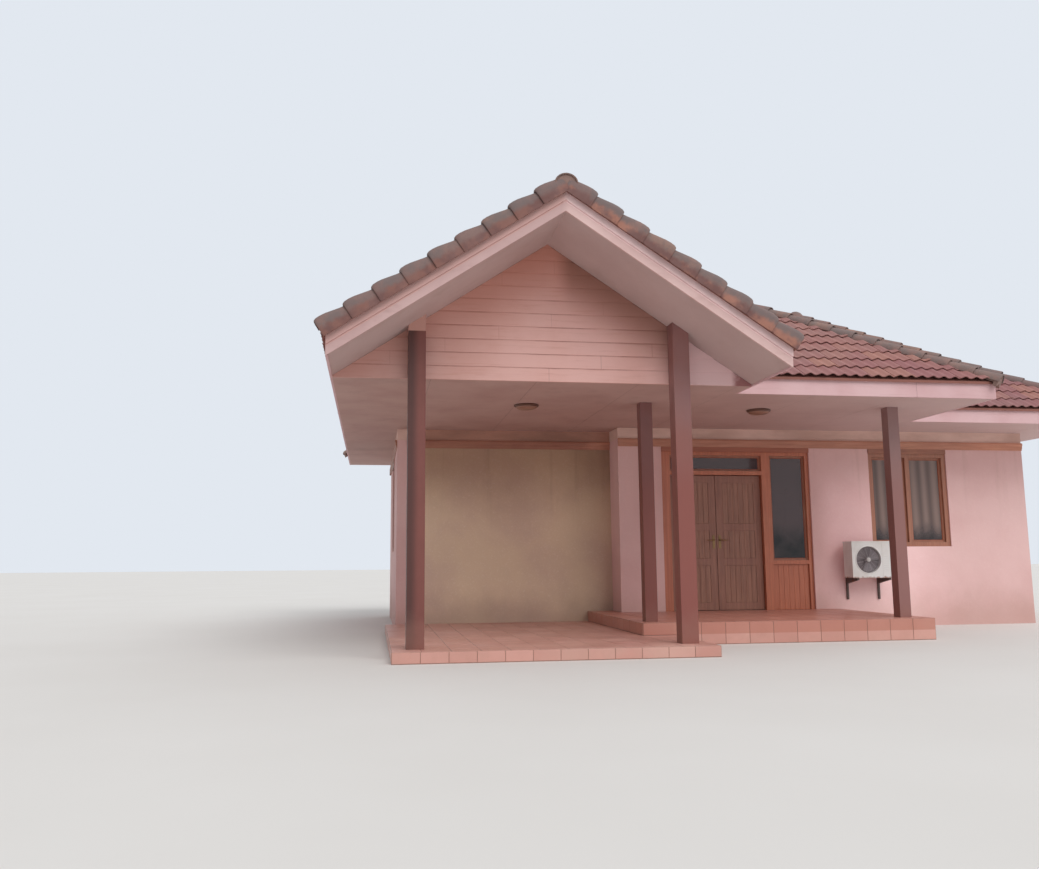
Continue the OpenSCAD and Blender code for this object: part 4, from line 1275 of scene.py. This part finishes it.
sashes()
head_boards("entrance_head_board", ENTRANCE_HEAD_SHADED, [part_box("entrance_frame")])
head_boards("window_head_boards", WINDOW_HEAD,
            [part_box("front_window_frame"), *islands("side_window_frames")])

# Doors: grooved boards in the panels, hinges, handles and lock plates
DOOR_STILE = 0.110
PANEL_SINK = 0.009
PANEL_ROWS = [(0.110, 0.560), (0.780, 0.420), (1.310, 0.630)]
HINGE_ROWS = (0.22, 1.02, 1.80)
LOCK_IN = 0.045
PLATE_HALF, PLATE_T, PLATE_ROWS = 0.019, 0.004, (0.93, 1.13)
HANDLE_ROW, HANDLE_REACH, HANDLE_OUT = 1.06, 0.115, 0.046
KEY_ROW = 0.965
KNUCKLE = [(0, 0), (0.0055, 0), (0.0065, 0.002), (0.0065, 0.098), (0.0055, 0.1), (0, 0.1)]
ROSE = [(0, 0), (0.012, 0), (0.012, 0.03), (0.009, 0.034), (0.009, 0.046), (0, 0.046)]
KEYWAY = [(0, 0), (0.006, 0), (0.006, 0.0055), (0.005, 0.0065), (0, 0.0065)]


def boards(solid, low, high, count):
    """Upright boards side by side between two corners."""
    step = (high.x - low.x) / count
    for k in range(count):
        x = low.x + k * step
        solid.box((x + 0.0006, low.y, low.z), (x + step - 0.0006, high.y, high.z), 0.003)


def door_pieces(node, body, hinged_right):
    low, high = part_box(node)
    hinge_x, lock_x = (high.x, low.x + LOCK_IN) if hinged_right else (low.x, high.x - LOCK_IN)
    panels = Solid()
    for z, h in PANEL_ROWS:
        for y0, y1 in ((low.y + 0.0025, low.y + PANEL_SINK + 0.0005),
                       (high.y - PANEL_SINK - 0.0005, high.y - 0.0025)):
            boards(panels, Vector((low.x + DOOR_STILE + 0.001, y0, low.z + z + 0.001)),
                   Vector((high.x - DOOR_STILE - 0.001, y1, low.z + z + h - 0.001)), 6)
    panels.piece(body + "_boards", BOARD_WOOD, "door_wood", body)
    metal = Solid()
    for z in HINGE_ROWS:
        metal.lathe(KNUCKLE, upright((hinge_x, high.y, low.z + z)), 16)
    for y, out in ((low.y, -1), (high.y, 1)):
        y0, y1 = sorted((y, y + out * PLATE_T))
        z0, z1 = (low.z + z for z in PLATE_ROWS)
        metal.box((lock_x - PLATE_HALF, y0, z0), (lock_x + PLATE_HALF, y1, z1), 0.0015)
        metal.lathe(ROSE, facing((lock_x, y, low.z + HANDLE_ROW), out), 24)
        reach = HANDLE_REACH if hinged_right else -HANDLE_REACH
        lever = []
        for t in (k / 10 for k in range(11)):
            bow = math.sin(math.pi * t)
            lever.append((lock_x + reach * t, y + out * (HANDLE_OUT + 0.008 * bow),
                          low.z + HANDLE_ROW - 0.012 * bow * t, 0.0085 - 0.0025 * t))
        metal.tube(lever)
        metal.lathe(KEYWAY, facing((lock_x, y, low.z + KEY_ROW), out), 16)
    metal.piece(body + "_furniture", BRASS, "door_wood", body, smooth=40)


def side_light_boards():
    low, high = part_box("side_light_panel")
    solid = Solid()
    for y0, y1 in ((low.y - 0.010, low.y + 0.001), (high.y - 0.001, high.y + 0.010)):
        boards(solid, Vector((low.x + 0.001, y0, low.z + 0.001)),
               Vector((high.x - 0.001, y1, high.z - 0.001)), 7)
    solid.piece("side_light_boards", FRAME_WOOD, "frame_wood")


door_pieces("left_door", "left_leaf", False)
door_pieces("right_door", "right_leaf", True)
side_light_boards()

# Outdoor unit: fan, guard rings, cover, service panel and fixings
FAN_X = 0.265
GUARD_R = 0.2
HUB_PROFILE = [(0, -0.010), (0.024, -0.0095), (0.032, -0.006), (0.034, 0.0), (0.034, 0.004), (0, 0.004)]
LIP_PROFILE = [(0.199, 0.03), (0.199, -0.001), (0.202, -0.005), (0.208, -0.006), (0.214, -0.003),
               (0.216, 0.001), (0.216, 0.002), (0.2005, 0.002), (0.2005, 0.03), (0.199, 0.03)]
FAN_BOSS = [(0, 0.012), (0.04, 0.014), (0.045, 0.02), (0.045, 0.05), (0, 0.05)]
HOUSING = [(0, 0.0575), (0.196, 0.0575), (0.1985, 0.0555), (0.1985, 0.0595), (0, 0.0595)]
BOLT = [(0, -0.02), (0.009, -0.02), (0.009, -0.004), (0.014, -0.003), (0.014, 0.0), (0, 0.0)]
BLADES, BLADE_ROWS, BLADE_COLUMNS = 3, 6, 8


def outdoor_unit():
    low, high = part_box("condenser")
    x, front, z = low.x + FAN_X, low.y, (low.z + high.z) / 2
    on_axis = facing((x, front, z))

    def turn(a, r, y):
        return Vector((x + r * math.cos(a), front + y, z + r * math.sin(a)))

    def bulge(r):
        return 0.004 * (r / GUARD_R) ** 2

    guard = Solid()
    for r in (0.032 + k * 0.0166 for k in range(11)):
        guard.tube([(*turn(a, r, bulge(r) - 0.004), 0.0015) for a in circle(64)], 6, True)
    for a in (a + TURN / 24 for a in circle(12)):
        guard.tube([(*turn(a, r, bulge(r) - 0.001), 0.002) for r in (0.028, 0.08, 0.14, 0.206)], 6)
    guard.piece("fan_guard", GRILLE, "condenser_paint", smooth=50)
    for name, profile, steps, material in (("fan_hub_cap", HUB_PROFILE, 40, HUB),
                                           ("fan_lip", LIP_PROFILE, 72, CONDENSER)):
        Solid().lathe(profile, on_axis, steps).piece(name, material, "condenser_paint", smooth=40)
    fan = Solid().lathe(FAN_BOSS, on_axis, 36)
    for start in circle(BLADES):
        rings = []
        for i in range(BLADE_ROWS + 1):
            sweep = i / BLADE_ROWS
            row = [turn(start + 0.4 + (t - 0.5) * 1.15 + 0.18 * sweep, 0.04 + 0.024 * i,
                        0.018 + 0.026 * t + 0.003 * sweep)
                   for t in (j / BLADE_COLUMNS for j in range(BLADE_COLUMNS + 1))]
            rings.append(fan.ring(row + [at + Vector((0, 0.003, 0)) for at in reversed(row)]))
        fan.shell(rings)
    fan.piece("fan_blades", FAN, "condenser_paint", smooth=40)
    Solid().lathe(HOUSING, on_axis, 64).piece("fan_housing", DARK_INSIDE, "condenser_paint")
    case = Solid()
    case.box((low.x - 0.004, low.y - 0.004, high.z - 0.022),
             (high.x + 0.004, high.y + 0.004, high.z + 0.003), 0.003, 2)
    case.box((x + 0.225, low.y - 0.003, low.z + 0.02), (high.x - 0.012, low.y + 0.001, high.z - 0.035),
             0.0015, 2)
    for k in range(9):
        z0 = low.z + 0.10 + k * 0.028
        case.box((x + 0.245, low.y - 0.006, z0), (high.x - 0.03, low.y - 0.002, z0 + 0.012), 0.0015)
    for k in range(12):
        z0 = low.z + 0.09 + k * 0.03
        case.box((low.x - 0.005, low.y + 0.05, z0), (low.x + 0.001, high.y - 0.05, z0 + 0.014), 0.0015)
    case.piece("unit_cover", CONDENSER, "condenser_paint")
    fixings = Solid()
    for bolt_x in (low.x + 0.09, high.x - 0.09):
        for bolt_y in (low.y + 0.05, high.y - 0.05):
            fixings.lathe(BOLT, upright((bolt_x, bolt_y, low.z - 0.012)), 6)
    fixings.piece("unit_bolts", BRACKET, "bracket_steel")


outdoor_unit()

# Ceiling lamps: a turned rim with a shallow bowl
LAMP_RIM_H = 0.03
RIM_PROFILE = [(0, 0.0), (0.98, 0.0), (1, 0.004), (1, 0.016), (0.97, 0.024), (0.9, 0.028),
               (0.88, 0.03), (0, 0.03)]
BOWL_R = 0.86


def ceiling_lamp(node, name):
    low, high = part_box(node)
    centre = (low + high) / 2
    r, h = (high.x - low.x) / 2, high.z - low.z
    down = upright((centre.x, centre.y, high.z), -1)
    rim = Solid().lathe([(r * a, b) for a, b in RIM_PROFILE], down)
    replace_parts(rim.piece(name + "_rim", LAMP_RIM, "lamp_bowl", smooth=40), node)
    curve = [(r * BOWL_R * math.cos(a), LAMP_RIM_H + (h - LAMP_RIM_H) * math.sin(a))
             for a in arc(8, math.pi / 2)[:-1]]
    bowl = Solid().lathe([(0, 0.024), (r * BOWL_R, 0.024), *curve, (0, h)], down)
    bowl.piece(name + "_bowl", LAMP_BOWL, "lamp_bowl", smooth=40)


ceiling_lamp("carport_lamp", "carport_ceiling_lamp")
ceiling_lamp("porch_lamp", "porch_ceiling_lamp")

# Finishes of the CAD nodes whose shape is right
FINISHES = (
    (CREAM_WALL, "carport_wall"),
    (PINK_WALL, "return_wall porch_wall entrance_lintel wing_wall left_wall right_wall back_wall"),
    (MAROON, "carport_column_left carport_column_right porch_column_left porch_column_right"),
    (SIDING, "gable_siding"), (BARGE, "left_barge_board right_barge_board"), (SOFFIT, "gable_soffit"),
    (CEILING, "carport_ceiling porch_ceiling eaves_soffit"), (INNER, "house_ceiling"),
    (FASCIA, "porch_fascia wing_fascia back_fascia left_fascia gable_fascia"),
    (FRAME_WOOD, "entrance_frame side_light_panel"), (DOOR_WOOD, "left_door right_door"),
    (WINDOW_WOOD, "front_window_frame side_window_frames"), (GLASS, "window_glass"),
    (CONDENSER, "condenser"), (BRACKET, "condenser_bracket"), (GROUT, "carport_floor porch_floor"),
    (INNER_FLOOR, "house_floor"))
for material, nodes in FINISHES:
    for node in nodes.split():
        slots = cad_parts[node].data.materials
        if not slots:
            slots.append(material)
        for i in range(len(slots)):
            slots[i] = material

# Floor, backdrop and light
GROUND_HALF = 150.0
SKY_LOW, SKY_HIGH = (0.56, 0.58, 0.60, 1), (0.74, 0.77, 0.80, 1)
BACKDROP = srgb(226, 232, 240)
SUN_TURN = (math.radians(44), 0, math.radians(18))


def ground():
    mesh = bpy.data.meshes.new("ground")
    corners = [(x * GROUND_HALF, y * GROUND_HALF, 0) for x, y in ((-1, -1), (1, -1), (1, 1), (-1, 1))]
    mesh.from_pydata(corners, [], [(0, 1, 2, 3)])
    s = Shade("ground", 0.9)
    s.colour = s.mix(s.noise(0.4, 3), srgb(214, 210, 206), srgb(222, 219, 216))
    mesh.materials.append(s.finish())
    floor = bpy.data.objects.new("ground", mesh)
    bpy.context.scene.collection.objects.link(floor)


def light():
    """A sky that is brighter above and to the right, a plain backdrop and a wide soft sun."""
    world = bpy.data.worlds.new("studio")
    bpy.context.scene.world = world
    world.use_nodes = True
    s = Nodes(world.node_tree)
    x, y, z = s.axes(s.node("ShaderNodeTexCoord"))
    rise = s.node("ShaderNodeMapRange", {"Value": z, "From Min": 0.0, "From Max": 0.9})
    across = s.node("ShaderNodeMapRange", {
        "Value": x, "From Min": -0.8, "From Max": 0.8, "To Min": 0.72, "To Max": 1.32})
    sky = s.node("ShaderNodeBackground", {"Color": s.mix(rise, SKY_LOW, SKY_HIGH), "Strength": across})
    seen = s.node("ShaderNodeBackground", {"Color": BACKDROP, "Strength": 1.0})
    shown = s.math("MAXIMUM", *(s.node("ShaderNodeLightPath", out=ray)
                                for ray in ("Is Camera Ray", "Is Transmission Ray")))
    mixed = s.node("ShaderNodeMixShader", {0: shown, 1: sky, 2: seen})
    s.put(s.tree.nodes["World Output"].inputs[0], mixed)
    sun = bpy.data.objects.new("key", bpy.data.lights.new("key", "SUN"))
    sun.data.energy = 1.5
    sun.data.angle = math.radians(45)
    sun.data.color = (1.0, 0.98, 0.95)
    sun.rotation_euler = SUN_TURN
    bpy.context.scene.collection.objects.link(sun)


ground()
light()
bpy.context.scene.view_settings.view_transform = "Standard"
